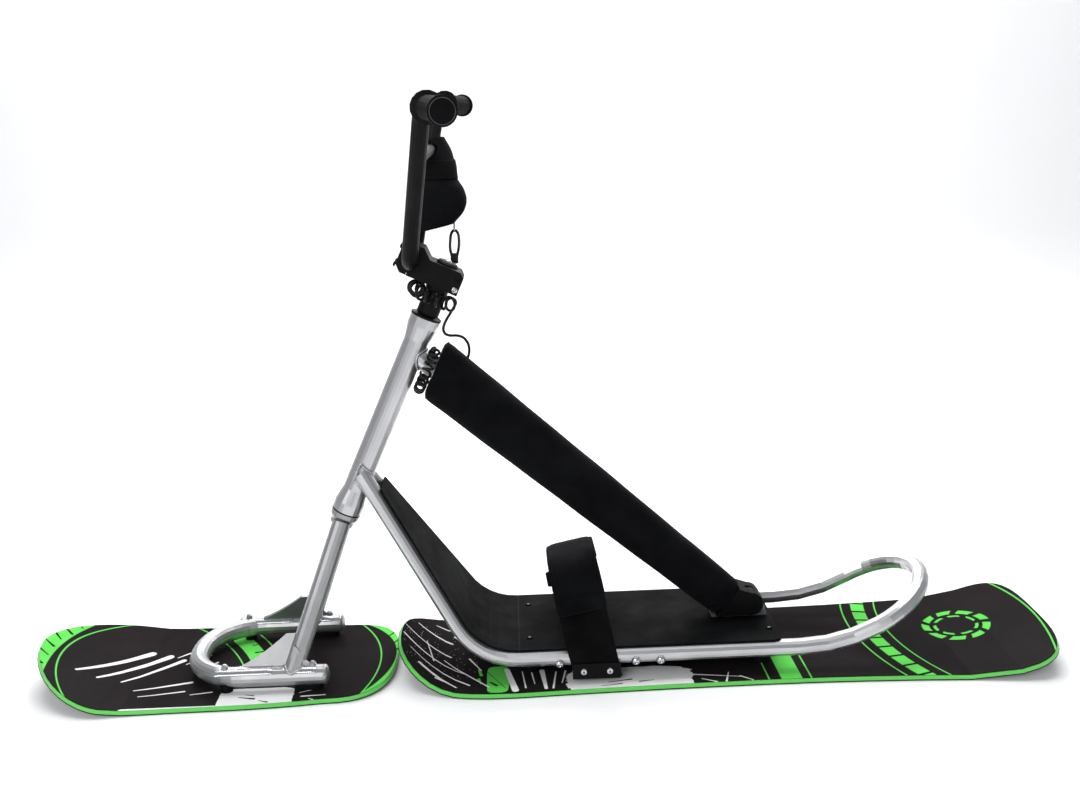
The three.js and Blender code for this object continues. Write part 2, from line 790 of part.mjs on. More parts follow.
// Leg guard: a bent sheet on the rails, narrower towards the head tube
function addLegGuard() {
  const meet = axisPoint(railHeadRise);
  const climb = Math.atan2(meet.z - railZ, railKneeX - meet.x);
  const offset = railRadius + seatGap;
  const knee = new THREE.Vector3(railKneeX + offset * Math.tan(climb / 2), 0, railZ + offset);
  const top = new THREE.Vector3(knee.x - (guardTopZ - knee.z) / Math.tan(climb), 0, guardTopZ);
  const seam = new THREE.Vector3(deckFrontX - guardSeamGap, 0, knee.z);
  const path = new BentPath([seam, knee, top], [railKneeRadius - offset]);
  const lowest = path.stations[path.stations.length - 2].z;
  const stations = path.stations.map((point, i) => {
    const tangent = path.tangents[i];
    const rise = Math.max(0, (point.z - lowest) / (guardTopZ - lowest));
    return {
      point,
      normal: new THREE.Vector3(-tangent.z, 0, tangent.x).negate(),
      side: new THREE.Vector3(0, 1, 0),
      half: deckHalf + (guardTopHalf - deckHalf) * rise,
    };
  });
  addPiece('leg_guard', strip(stations, 0, deckThickness), paint.plastic);
}

// Strut: a tube from the head tube, its padded sleeve, shoe, bracket and bolt
const strutTop = axisPoint(strutTopAlong);
const strutRise = Math.atan2(strutTop.z - strutAimZ, strutAimX - strutTop.x);
const strutWay = new THREE.Vector3(Math.cos(strutRise), 0, -Math.sin(strutRise));
const strutUp = new THREE.Vector3(Math.sin(strutRise), 0, Math.cos(strutRise));

function strutPoint(along, up = 0) {
  return strutTop.clone().addScaledVector(strutWay, along).addScaledVector(strutUp, up);
}

const shoeAlong = new THREE.Vector3(shoeX, 0, shoeZ).sub(strutTop).dot(strutWay);
const sleeveEnd = shoeAlong - sleeveShoeGap;
const sleeveLength = sleeveEnd - sleeveStart;
const shoeFace = sleeveEnd + seatGap;
const shoeLow = bracketLow + bracketThickness + seatGap;

function sleeveRing(along, grow) {
  const share = (along - sleeveStart) / sleeveLength;
  const tall = sleeveTopHalf.tall + (sleeveEndHalf.tall - sleeveTopHalf.tall) * share + grow;
  const wide = sleeveTopHalf.wide + (sleeveEndHalf.wide - sleeveTopHalf.wide) * share + grow;
  const points = [];
  for (let i = 0; i < tubeSides; i += 1) {
    const angle = (2 * Math.PI * i) / tubeSides;
    const point = strutPoint(along, tall * Math.sin(angle));
    point.y = wide * Math.cos(angle);
    points.push(point.x, point.y, point.z);
  }
  return points;
}

function addStrut() {
  const path = new BentPath([strutPoint(0), strutPoint(sleeveEnd)], []);
  const headCutter = placed(disc(headRadius + seatGap, 0, headLength), steeringFrame.matrixWorld);
  addPiece('strut_tube', cut(sweep(path, strutRadius), [headCutter]), paint.aluminium);
  const positions = sleeveRing(sleeveStart - sleeveTopHalf.tall, 0);
  for (let i = 0; i <= sleeveRings; i += 1) {
    const share = i / sleeveRings;
    positions.push(...sleeveRing(sleeveStart + (sleeveLength - sleeveEdge) * share, 0));
  }
  positions.push(...sleeveRing(sleeveEnd, -sleeveEdge / 2));
  const blank = ringSolid(positions, sleeveRings + 3, tubeSides);
  const bore = new BentPath([strutPoint(-cutOverrun), strutPoint(sleeveEnd + cutOverrun)], []);
  const faceX = sleeveStart * Math.cos(strutRise - rake);
  const face = box(2 * headLength, 2 * headLength, 4 * headLength, faceX - headLength, 0, 0);
  const faceCutter = placed(face, steeringFrame.matrixWorld);
  const floor = box(2 * deckHalf, 2 * deckHalf, bracketLow, shoeX, 0, shoeLow - bracketLow / 2);
  const sleeve = cut(blank, [sweep(bore, strutRadius + seatGap), faceCutter, floor]);
  addPiece('strut_sleeve', sleeve, paint.fabric);
}

function addStrutFoot() {
  const front = strutPoint(shoeFace, sleeveEndHalf.tall - shoeInset);
  const back = strutPoint(shoeFace, -sleeveEndHalf.tall + shoeInset);
  const backSlope = (front.x - back.x) / (front.z - back.z);
  const outline = [[front.x, front.z]];
  for (let angle = 90; angle >= -90; angle -= shoeStep) {
    const x = shoeX + shoeRadius * Math.cos(rad(angle));
    const z = shoeZ + shoeRadius * Math.sin(rad(angle));
    outline.push([x, Math.max(z, shoeLow)]);
  }
  outline.push([front.x - (front.z - shoeLow) * backSlope, shoeLow]);
  const sink = shoeZ + shoeRadius - strutBoltSink;
  const pocket = disc(strutBoltHeadRadius + seatGap, sink, sink + strutBoltSink + cutOverrun, tubeSides);
  const shoe = cut(sidePrism(outline.reverse(), shoeHalfWidth),
    [pocket.translate(strutBoltX, 0, 0), strutBoltBore(0, sink + cutOverrun)]);
  addPiece('strut_shoe', shoe, paint.plastic);
  const plateTop = bracketLow + bracketThickness;
  const lip = bracketTopZ - plateTop;
  const bracketOutline = [
    [bracketFrontX, bracketLow], [bracketRearX, bracketLow], [bracketRearX, plateTop],
    [bracketRearX - lip / 3, bracketTopZ], [bracketRearX - lip / 3 - bracketThickness, bracketTopZ],
    [bracketRearX - lip / 3 - bracketThickness, plateTop], [bracketFrontX, plateTop],
  ];
  const shoeCutter = crossPlug(shoeRadius + seatGap, -deckHalf, deckHalf, shoeX, shoeZ, latheSides * 2);
  const bracket = cut(sidePrism(bracketOutline, bracketHalfWidth),
    [shoeCutter, strutBoltBore(0, plateTop + cutOverrun)]);
  addPiece('strut_bracket', bracket, paint.aluminium);
  const bolt = lathe([
    [0, strutBoltLow], [boltShankRadius, strutBoltLow], [boltShankRadius, sink + seatGap],
    [strutBoltHeadRadius, sink + seatGap], [strutBoltHeadRadius, sink + strutBoltSink * headShoulderShare],
    [0, sink + strutBoltSink * strutBoltDomeShare],
  ], boreSides);
  addPiece('strut_bolt', bolt.translate(strutBoltX, 0, 0), paint.blackMetal);
}

// Foot strap: an arch over the deck, of two strips and the padded piece on top.
// The band leans forward as it rises, and turns square to its own length above its plates
function strapStations(fromShare, toShare, half) {
  const span = strapTopZ - strapFootZ;
  const corners = [];
  for (const [across, up] of strapArchShares) {
    corners.push(new THREE.Vector2(-strapFootY * across, strapFootZ + span * up));
  }
  const mirrored = strapArchShares.slice(0, -1).reverse();
  for (const [across, up] of mirrored) {
    corners.push(new THREE.Vector2(strapFootY * across, strapFootZ + span * up));
  }
  const arch = new THREE.SplineCurve(corners);
  const lean = (strapTopX - strapX) / span;
  const stations = [];
  const steps = Math.round((toShare - fromShare) / strapStepShare);
  for (let i = 0; i <= steps; i += 1) {
    const share = fromShare + ((toShare - fromShare) * i) / steps;
    const at = arch.getPointAt(share);
    const flat = arch.getTangentAt(share);
    const way = new THREE.Vector3(lean * flat.y, flat.x, flat.y).normalize();
    const beyond = Math.min(share, 1 - share) - strapTurnShares.start;
    const turn = Math.min(1, Math.max(0, beyond) / strapTurnShares.run);
    const side = new THREE.Vector3(1, 0, -lean * turn).normalize();
    stations.push({
      point: new THREE.Vector3(strapFootX(at.y), at.x, at.y),
      normal: side.clone().cross(way).normalize(),
      side,
      half,
    });
  }
  return stations;
}

function addStrap() {
  const bores = [];
  for (const side of [-1, 1]) {
    for (const shift of [-1, 1]) {
      const x = strapFootX(strapBoltZ) + (shift * strapBoltPitch) / 2;
      bores.push(crossPlug(strapBoltRadius + seatGap, side * railHalf, side * (strapFootY + 2 * cutOverrun),
        x, strapBoltZ, boreSides));
    }
  }
  const leftStrip = strapStations(0, strapPadShares.from + strapLapShare, strapHalfWidth);
  const rightStrip = strapStations(strapPadShares.to - strapLapShare, 1, strapHalfWidth);
  const pad = strapStations(strapPadShares.from, strapPadShares.to, strapPadHalfWidth);
  const stripLow = -strapThickness;
  addPiece('foot_strap_left', cut(strip(leftStrip, stripLow, 0), bores), paint.fabric);
  addPiece('foot_strap_right', cut(strip(rightStrip, stripLow, 0), bores), paint.fabric);
  addPiece('foot_strap_pad', strip(pad, seatGap, seatGap + strapPadThickness), paint.fabric);
  for (const side of [-1, 1]) {
    const name = side < 0 ? 'left' : 'right';
    const y = side * (strapFootY + seatGap + strapPlateThickness / 2);
    const plate = box(2 * strapPlateHalf, strapPlateThickness, strapPlateHeight,
      strapFootX(strapBoltZ), y, strapBoltZ);
    addPiece(`strap_plate_${name}`, cut(plate, bores), paint.plastic);
    for (const [place, shift] of [['front', -1], ['rear', 1]]) {
      const head = strapFootY + seatGap + strapPlateThickness + seatGap;
      const bolt = lathe([
        [0, railHalf + railRadius / 2], [strapBoltRadius, railHalf + railRadius / 2],
        [strapBoltRadius, head], [strapBoltHead, head],
        [strapBoltHead * headWaistShare, head + strapBoltHeadHeight * headShoulderShare],
        [0, head + strapBoltHeadHeight],
      ], boreSides);
      bolt.rotateX(-side * Math.PI / 2);
      const x = strapFootX(strapBoltZ) + (shift * strapBoltPitch) / 2;
      addPiece(`strap_bolt_${place}_${name}`, bolt.translate(x, 0, strapBoltZ), paint.steel);
    }
  }
}

// Headset cover, spacers, stem with its face plate, and the top cap
const coverLow = headLength + seatGap;
const spacerLow = coverLow + coverHeight + seatGap;
const barAlong = stemAlong + stemBarRise;
const stemTop = stemAlong + stemHeight;

function addStem() {
  const inner = steererRadius + seatGap;
  const cover = lathe([
    [inner, coverLow], [coverRadius, coverLow], [coverRadius, coverLow + coverHeight / 2],
    [spacerRadius, coverLow + coverHeight], [inner, coverLow + coverHeight], [inner, coverLow],
  ]);
  addPiece('headset_cover', cover, paint.blackMetal, steeringFrame);
  const profile = [[inner, spacerLow]];
  const each = (stemAlong - seatGap - spacerLow) / spacerCount;
  for (let i = 0; i < spacerCount; i += 1) {
    const low = spacerLow + i * each;
    profile.push([spacerRadius - seatGap, low], [spacerRadius, low + 2 * seatGap]);
    profile.push([spacerRadius, low + each - 2 * seatGap], [spacerRadius - seatGap, low + each]);
  }
  profile.push([inner, stemAlong - seatGap], [inner, spacerLow]);
  addPiece('spacer_stack', lathe(profile), paint.blackMetal, steeringFrame);
  const split = stemBarReach - seatGap;
  const hornTop = stemAlong + stemHornHeight;
  const body = [
    [stemRear, stemAlong], [stemRear, stemTop - stemHeight / 5], [stemRear - stemHeight / 5, stemTop],
    [-stemBarReach / 2, stemTop], [-stemBarReach + barRadius, hornTop], [-split, hornTop],
    [-split, stemAlong],
  ];
  const barCutter = crossPlug(barRadius + seatGap, -deckHalf, deckHalf, -stemBarReach, barAlong);
  const steererCutter = disc(inner, stemAlong - cutOverrun, hornTop);
  const slit = box(stemRear, stemSlit, 2 * stemHeight, stemRear, 0, stemAlong + stemHeight / 2);
  const stem = cut(sidePrism(body, stemHalfWidth), [barCutter, steererCutter, slit]);
  addPiece('stem_body', stem, paint.blackMetal, steeringFrame);
  const lipLow = stemAlong + 2 * seatGap;
  const edge = (stemFront - stemBarReach) / 2;
  const plate = [
    [-stemBarReach - seatGap, lipLow], [-stemBarReach - seatGap, hornTop - 2 * seatGap],
    [-stemFront + edge, hornTop - 2 * seatGap], [-stemFront, hornTop - edge],
    [-stemFront, lipLow + edge], [-stemFront + edge, lipLow],
  ];
  addPiece('stem_face_plate', cut(sidePrism(plate, stemHalfWidth), [barCutter]), paint.blackMetal,
    steeringFrame);
  const capLow = stemTop + seatGap;
  const cap = lathe([
    [0, capLow], [capRadius, capLow], [capRadius, capLow + capHeight / 2],
    [capRadius * headWaistShare, capLow + capHeight], [0, capLow + capHeight],
  ]);
  addPiece('stem_top_cap', cap, paint.blackMetal, steeringFrame);
}

// Handlebar: one bent tube with a welded crossbar, grips and end plugs
const barCentre = axisPoint(barAlong, -stemBarReach);

function barPoint(side, rise) {
  const point = barCentre.clone();
  point.x += rise * Math.sin(barLean);
  point.y = side;
  point.z += rise * Math.cos(barLean);
  return point;
}

function barEnd(side, along) {
  const corner = barPoint(side * barUpperHalf, barRise);
  corner.x += (along - barUpperHalf) * Math.tan(barSweep);
  corner.y = side * along;
  corner.z -= (along - barUpperHalf) * Math.tan(barDroop);
  return corner;
}

function onBarEnd(geometry, side, along) {
  const start = barEnd(side, along);
  const way = barEnd(side, along + barRadius).sub(start).normalize();
  const turn = new THREE.Quaternion().setFromUnitVectors(new THREE.Vector3(0, 0, 1), way);
  return geometry.applyQuaternion(turn).translate(start.x, start.y, start.z);
}

const crossbarReach = barLowerHalf + ((barUpperHalf - barLowerHalf) * crossbarRise) / barRise;
const crossbarPath = new BentPath([
  barPoint(-crossbarReach, crossbarRise), barPoint(crossbarReach, crossbarRise),
], []);

function addHandlebar() {
  const corners = [
    barEnd(-1, barHalf), barPoint(-barUpperHalf, barRise), barPoint(-barLowerHalf, 0),
    barPoint(barLowerHalf, 0), barPoint(barUpperHalf, barRise), barEnd(1, barHalf),
  ];
  const bends = [barUpperBend, barLowerBend, barLowerBend, barUpperBend];
  const tube = sweep(new BentPath(corners, bends), barRadius);
  const crossbar = sweep(crossbarPath, crossbarRadius, crossbarSides);
  addPiece('handlebar', join(tube, [crossbar]), paint.blackMetal);
  const inner = barRadius + seatGap;
  for (const side of [-1, 1]) {
    const name = side < 0 ? 'left' : 'right';
    const profile = [[inner, 0], [gripFlangeRadius, 0], [gripFlangeRadius, gripFlangeWidth]];
    const pitch = (gripLength - 2 * gripFlangeWidth) / gripRibs;
    for (let i = 0; i < gripRibs; i += 1) {
      const at = (share) => gripFlangeWidth + (i + share) * pitch;
      const valley = gripRadius - gripRibDepth;
      profile.push([valley, at(gripRibShares.start)], [gripRadius, at(gripRibShares.high)]);
      profile.push([gripRadius, at(gripRibShares.fall)], [valley, at(gripRibShares.end)]);
    }
    profile.push([gripRadius, gripLength], [inner, gripLength], [inner, 0]);
    const start = barHalf - gripLength * Math.cos(barSweep);
    addPiece(`grip_${name}`, onBarEnd(lathe(profile, tubeSides), side, start), paint.rubber);
    const plug = lathe([
      [0, seatGap], [plugRadius, seatGap], [plugRadius, plugThickness * plugRimShare],
      [plugRadius * plugFaceShare, plugThickness], [0, plugThickness],
    ]);
    addPiece(`bar_plug_${name}`, onBarEnd(plug, side, barHalf), paint.plastic);
  }
}

// Leash: a wrist cuff round the right upright, its ring, and a curly cord down to the strut
function cuffCentre(rise) {
  const side = barLowerHalf + ((barUpperHalf - barLowerHalf) * rise) / barRise;
  return barPoint(side, rise);
}

// One ring of the cuff, let down along the upright by drop at its front
function cuffOutline([rise, reach, half], grow, drop) {
  const middle = (reach - cuffFront) / 2;
  const points = [];
  for (let i = 0; i < cuffSides; i += 1) {
    const angle = (2 * Math.PI * i) / cuffSides;
    const cosine = Math.cos(angle);
    const sine = Math.sin(angle);
    const along = Math.sign(cosine) * Math.abs(cosine) ** (2 / cuffRoundness);
    const across = Math.sign(sine) * Math.abs(sine) ** (2 / cuffRoundness);
    const x = middle + ((reach + cuffFront) / 2 + grow) * along;
    const low = (drop * (reach - x)) / (reach + cuffFront);
    const point = cuffCentre(rise - low);
    points.push(point.x + x, point.y + (half + grow) * across, point.z);
  }
  return points;
}

function cuffShell(grow, overrun) {
  const last = cuffProfile.length - 1;
  const positions = cuffProfile.flatMap(([rise, reach, half], i) => {
    const edge = Number(i === last) * overrun - Number(i === 0) * overrun;
    return cuffOutline([rise + edge, reach, half], grow, Number(i === 0) * cuffHemDrop);
  });
  return ringSolid(positions, cuffProfile.length, cuffSides);
}

const [cuffLowRise, cuffLowReach] = cuffProfile[0];
const cuffTopRise = cuffProfile[cuffProfile.length - 1][0];
const ringCentre = cuffCentre(cuffLowRise);
ringCentre.x += cuffLowReach + cuffWall / 2;
ringCentre.z -= seatGap + ringRadius + ringWireRadius;

// The cuff is open above the crossbar, where its ends are closed over each other
function addCuff() {
  const slotHalf = crossbarRadius + seatGap;
  const slotHeight = cuffTopRise - crossbarRise + cutOverrun;
  const bar = cuffCentre(crossbarRise);
  const slot = box(2 * slotHalf, 2 * crossbarReach, slotHeight, 0, -crossbarReach, slotHeight / 2);
  slot.rotateY(barLean).translate(bar.x, bar.y, bar.z);
  const passage = sweep(crossbarPath, slotHalf, crossbarSides);
  const cuff = cut(cuffShell(cuffWall, 0), [cuffShell(0, cutOverrun), slot, passage]);
  addPiece('leash_cuff', cuff, paint.fabric);
  const wire = new THREE.TorusGeometry(ringRadius, ringWireRadius, ringWireSides, tubeSides);
  wire.rotateY(Math.PI / 2).translate(ringCentre.x, ringCentre.y, ringCentre.z);
  addPiece('leash_ring', wire, paint.steel);
}

// Curls about a route given as a function from 0 to 1 that returns a point and its outward way
function curlPoints(route, curls, radius) {
  const count = curls * curlSteps;
  const points = [];
  for (let i = 0; i <= count; i += 1) {
    const share = i / count;
    const { point, outward } = route(share);
    const ahead = route(Math.min(1, share + probeShare)).point;
    const behind = route(Math.max(0, share - probeShare)).point;
    const across = ahead.sub(behind).normalize().cross(outward);
    const swell = Math.min(1, (Math.min(i, count - i) + 1) / (curlSteps / 2));
    const angle = (2 * Math.PI * i) / curlSteps;
    const reach = radius * swell;
    points.push(point.addScaledVector(outward, reach * Math.cos(angle))
      .addScaledVector(across, reach * Math.sin(angle)));
  }
  return points;
}

// The least free space between stretches of one cord that are apart along it
function leastGap(points) {
  let least = Infinity;
  for (let i = 0; i < points.length; i += 1) {
    for (let j = i + curlSteps - 2; j < points.length; j += 1) {
      least = Math.min(least, points[i].distanceTo(points[j]) - 2 * cordRadius);
    }
  }
  return least;
}

function smoothLead(points, step) {
  const curve = new THREE.CatmullRomCurve3(points);
  return curve.getSpacedPoints(Math.ceil(curve.getLength() / step));
}

function addCord(name, points) {
  console.log(`${name}: least gap to itself ${leastGap(points).toFixed(2)} mm`);
  addPiece(name, sweep(new PointPath(points), cordRadius, cordSides), paint.plastic);
}

function upperRoute(share) {
  const around = upperRouteStart + share * upperRouteTurn;
  const along = stemAlong - upperCurlRadius - 2 * cordRadius;
  const point = axisPoint(along, upperRouteRadius * Math.cos(around), upperRouteRadius * Math.sin(around));
  const outward = point.clone().sub(axisPoint(along)).normalize();
  return { point, outward };
}

function lowerRoute(share) {
  const around = lowerRouteStart + share * lowerRouteTurn;
  const middle = strutTopAlong - lowerRouteX * Math.tan(strutRise - rake);
  const side = lowerRouteRadius * Math.cos(around);
  const reach = Math.sin(around) > 0 ? lowerRouteRadius : lowerRouteSag;
  const along = middle + reach * Math.sin(around);
  const point = axisPoint(along, lowerRouteX, side);
  const outward = point.clone().sub(axisPoint(middle, lowerRouteX)).normalize();
  return { point, outward };
}

function addLeashCords() {
  const step = 2 * cordRadius;
  const stemSide = stemHalfWidth + 2 * cordRadius;
  const curlsUp = curlPoints(upperRoute, upperCurls, upperCurlRadius);
  const loop = tetherRoute.map(([x, y, z]) => new THREE.Vector3(x, y, z).add(ringCentre));
  const lead = smoothLead([
    ...loop, axisPoint(stemAlong + stemHeight / 2, stemRear / 6, stemSide),
    axisPoint(stemAlong, 0, stemSide + cordRadius), curlsUp[0],
  ], step);
  const jointHigh = cordJointAlong + seatGap;
  const tailUp = smoothLead([
    curlsUp[curlsUp.length - 1], axisPoint(jointHigh + 8 * cordRadius, cordJointX + cordRadius),
    axisPoint(jointHigh + 2 * cordRadius, cordJointX), axisPoint(jointHigh, cordJointX),
  ], step);
  addCord('leash_cord_upper', [...lead.slice(0, -1), ...curlsUp, ...tailUp.slice(1)]);
  const curlsLow = curlPoints(lowerRoute, lowerCurls, lowerCurlRadius);
  const bow = bowRoute.map(([up, back, side]) => axisPoint(cordJointAlong + up, cordJointX + back, side));
  const headLow = smoothLead([...bow, curlsLow[0]], step);
  const last = curlsLow[curlsLow.length - 1];
  const middle = strutTopAlong - lowerRouteX * Math.tan(strutRise - rake);
  const inward = axisPoint(middle, lowerRouteX).sub(last);
  const reach = inward.length() - strutRadius - 2 * seatGap - cordRadius / 4;
  const end = last.clone().addScaledVector(inward.normalize(), reach);
  addCord('leash_cord_lower', [...headLow.slice(0, -1), ...curlsLow, end]);
}

const frontBolts = [frontBoltFrontX, frontBoltRearX].flatMap((x) => [[x, -footHalf], [x, footHalf]]);

addBoard('front_board', frontNoseX, frontBoardLength, frontBoard, frontBolts);
addBoard('rear_board', rearNoseX, rearBoardLength, rearBoard, []);
addHeadTube();
addFork();
addFrontMounts();
addRails();
addCrossMembers();
addDeck();
addLegGuard();
addStrut();
addStrutFoot();
addStrap();
addStem();
addHandlebar();
addCuff();
addLeashCords();

export default scooter;
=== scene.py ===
import math
import bmesh
import bpy
import numpy as np
from mathutils import Matrix, Vector


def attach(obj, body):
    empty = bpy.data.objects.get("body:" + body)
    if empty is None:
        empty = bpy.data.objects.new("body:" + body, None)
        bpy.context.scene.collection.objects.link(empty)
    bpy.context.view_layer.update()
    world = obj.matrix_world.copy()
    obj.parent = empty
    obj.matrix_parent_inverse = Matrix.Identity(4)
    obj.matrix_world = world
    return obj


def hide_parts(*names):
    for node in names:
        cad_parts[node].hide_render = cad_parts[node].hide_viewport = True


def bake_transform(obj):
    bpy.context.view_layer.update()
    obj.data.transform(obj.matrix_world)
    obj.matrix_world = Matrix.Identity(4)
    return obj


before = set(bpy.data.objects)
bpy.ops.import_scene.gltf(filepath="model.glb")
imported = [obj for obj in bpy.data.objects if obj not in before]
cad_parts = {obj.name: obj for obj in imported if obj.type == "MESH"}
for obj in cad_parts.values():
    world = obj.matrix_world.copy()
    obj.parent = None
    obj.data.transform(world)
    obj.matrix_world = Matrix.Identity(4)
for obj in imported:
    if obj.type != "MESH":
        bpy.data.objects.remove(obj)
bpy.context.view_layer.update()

print("frame loaded:", len(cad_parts), "nodes")

# Shapes are worked out in millimetres and put into the meshes in metres
mm = 0.001


# Camera and cords come first
cameraValues = {"place": (-29.5, -1857.79, 889.94), "yaw": 1.139, "pitch": 14.147, "roll": 1.910, "lens": 41.26}


def addCamera(values):
    # looks along (sin yaw cos pitch, cos yaw cos pitch, -sin pitch), rolled about that line
    yaw, pitch, roll = (math.radians(values[key]) for key in ("yaw", "pitch", "roll"))
    look = Vector((math.sin(yaw) * math.cos(pitch), math.cos(yaw) * math.cos(pitch), -math.sin(pitch)))
    level = Vector((math.cos(yaw), -math.sin(yaw), 0))
    rise = level.cross(look)
    right = level * math.cos(roll) - rise * math.sin(roll)
    up = rise * math.cos(roll) + level * math.sin(roll)
    data = bpy.data.cameras.new("photo_camera")
    data.lens = values["lens"]
    data.sensor_width = 36
    camera = bpy.data.objects.new("photo_camera", data)
    bpy.context.collection.objects.link(camera)
    turn = Matrix((right, up, -look)).transposed().to_4x4()
    camera.matrix_world = Matrix.Translation(Vector(values["place"]) * mm) @ turn
    bpy.context.scene.camera = camera


addCamera(cameraValues)


def unit(vectors):
    # each vector divided by its own length
    return vectors / np.maximum(np.linalg.norm(vectors, axis=-1, keepdims=True), 1e-12)


def runAlong(line):
    # distance travelled along the line at each of its points
    return np.concatenate([[0], np.cumsum(np.linalg.norm(np.diff(line, axis=0), axis=1))])


def readAt(wanted, run, line):
    # the line's points at the wanted distances
    return np.stack([np.interp(wanted, run, column) for column in line.T], -1)


def circle(count):
    # equal angles round a full turn
    return np.linspace(0, 2 * math.pi, count, endpoint=False)


def aboutLine(angle, side, third):
    # cosine of the angle along one side and sine along the other
    return np.cos(angle)[..., None] * side + np.sin(angle)[..., None] * third


def squarer(value, power):
    # a cosine or sine pushed out towards a superellipse; power 2 leaves it round
    return np.sign(value) * np.abs(value) ** (2 / power)


def nearLine(distance, width):
    # 1 on a line, falling off like a bell over the width
    return np.exp(-(distance / width) ** 2)


steering = {"x": -302.0, "z": 264.0, "rake": math.radians(25)}


def axisPoint(along, behind=0.0, side=0.0):
    # up the steering axis, then square to it towards the tail, then sideways
    along, behind, side = np.broadcast_arrays(*(np.asarray(v, float) for v in (along, behind, side)))
    sine, cosine = math.sin(steering["rake"]), math.cos(steering["rake"])
    return np.stack([steering["x"] + along * sine + behind * cosine, side,
                     steering["z"] + along * cosine - behind * sine], -1)


def smoothLine(points, step):
    # centripetal spline through the points, put into equal steps along its length
    points = np.asarray(points, float)
    padded = np.vstack([2 * points[0] - points[1], points, 2 * points[-1] - points[-2]])
    gaps = np.maximum(np.linalg.norm(np.diff(padded, axis=0), axis=1), 1e-6) ** 0.5
    knots = np.concatenate([[0], np.cumsum(gaps)])
    fine = []
    for i in range(1, len(padded) - 2):
        t = np.linspace(knots[i], knots[i + 1], 24, endpoint=False)[:, None]
        t0, t1, t2, t3 = knots[i - 1:i + 3]
        p0, p1, p2, p3 = padded[i - 1:i + 3]
        a1 = (t1 - t) / (t1 - t0) * p0 + (t - t0) / (t1 - t0) * p1
        a2 = (t2 - t) / (t2 - t1) * p1 + (t - t1) / (t2 - t1) * p2
        a3 = (t3 - t) / (t3 - t2) * p2 + (t - t2) / (t3 - t2) * p3
        b1 = (t2 - t) / (t2 - t0) * a1 + (t - t0) / (t2 - t0) * a2
        b2 = (t3 - t) / (t3 - t1) * a2 + (t - t1) / (t3 - t1) * a3
        fine.append((t2 - t) / (t2 - t1) * b1 + (t - t1) / (t2 - t1) * b2)
    return evenSteps(np.vstack(fine + [points[-1:]]), step)


def evenSteps(line, step):
    # the same line with its points a fixed distance apart
    run = runAlong(line)
    return readAt(np.linspace(0, run[-1], max(2, int(math.ceil(run[-1] / step)) + 1)), run, line)


def gridMesh(name, grid, closeAcross=True, closeAlong=False, scale=mm):
    # rows of points joined to the next row; closeAcross joins each row's ends, closeAlong the last row to the first,
    # and a tube that is closed only across gets a face at each end
    rows, columns = grid.shape[:2]
    across = columns if closeAcross else columns - 1
    along = rows if closeAlong else rows - 1
    r, c = np.meshgrid(np.arange(along), np.arange(across), indexing="ij")
    nextRow, nextColumn = (r + 1) % rows, (c + 1) % columns
    faces = np.stack([r * columns + c, r * columns + nextColumn,
                      nextRow * columns + nextColumn, nextRow * columns + c], -1).reshape(-1, 4)
    polygons = faces.tolist()
    if closeAcross and not closeAlong:
        polygons.append(list(range(columns))[::-1])
        polygons.append(list(range((rows - 1) * columns, rows * columns)))
    mesh = bpy.data.meshes.new(name)
    mesh.from_pydata((grid.reshape(-1, 3) * scale).tolist(), [], polygons)
    # the surface's own map, in metres along (u) and across (v)
    down = np.linalg.norm(np.diff(grid, axis=0), axis=2).mean(1)
    over = np.linalg.norm(np.diff(grid, axis=1), axis=2).mean(0)
    closing = np.linalg.norm(grid[:, -1] - grid[:, 0], axis=1).mean()
    u = np.concatenate([[0], np.cumsum(down), [down.sum() + down.mean()]]) * scale
    v = np.concatenate([[0], np.cumsum(over), [over.sum() + closing]]) * scale
    corners = np.stack([np.stack([u[r], v[c]], -1), np.stack([u[r], v[c + 1]], -1),
                        np.stack([u[r + 1], v[c + 1]], -1), np.stack([u[r + 1], v[c]], -1)], 2).reshape(-1, 2)
    layer = mesh.uv_layers.new(name="surface")
    spread = np.zeros((len(mesh.loops), 2))
    spread[:len(corners)] = corners
    layer.data.foreach_set("uv", spread.ravel())
    mesh.polygons.foreach_set("use_smooth", np.ones(len(mesh.polygons), bool))
    mesh.update()
    piece = bpy.data.objects.new(name, mesh)
    bpy.context.collection.objects.link(piece)
    return piece


def facesOut(piece):
    # turns a closed mesh the right way when its signed volume is negative
    mesh = piece.data
    mesh.calc_loop_triangles()
    corners = np.empty(len(mesh.loop_triangles) * 3, np.int32)
    mesh.loop_triangles.foreach_get("vertices", corners)
    places = np.empty(len(mesh.vertices) * 3)
    mesh.vertices.foreach_get("co", places)
    a, b, c = places.reshape(-1, 3)[corners.reshape(-1, 3)].transpose(1, 0, 2)
    if np.einsum("ij,ij->i", a, np.cross(b, c)).sum() < 0:
        mesh.flip_normals()
    return piece


def flatFaces(piece):
    # crisp edges for small flat sided pieces
    piece.data.polygons.foreach_set("use_smooth", np.zeros(len(piece.data.polygons), bool))
    return piece


def sweepFrames(path, closed=False):
    # tangents of the path, and sides carried along it with the least turning
    if closed:
        tangent = unit(np.roll(path, -1, 0) - np.roll(path, 1, 0))
    else:
        tangent = unit(np.gradient(path, axis=0))
    start = np.cross(tangent[0], [0.0, 0.0, 1.0])
    if np.linalg.norm(start) < 0.2:
        start = np.cross(tangent[0], [0.0, 1.0, 0.0])
    normals = [unit(start)]
    for way in tangent[1:]:
        normals.append(unit(normals[-1] - way * np.dot(normals[-1], way)))
    normal = np.array(normals)
    return tangent, normal, np.cross(tangent, normal)


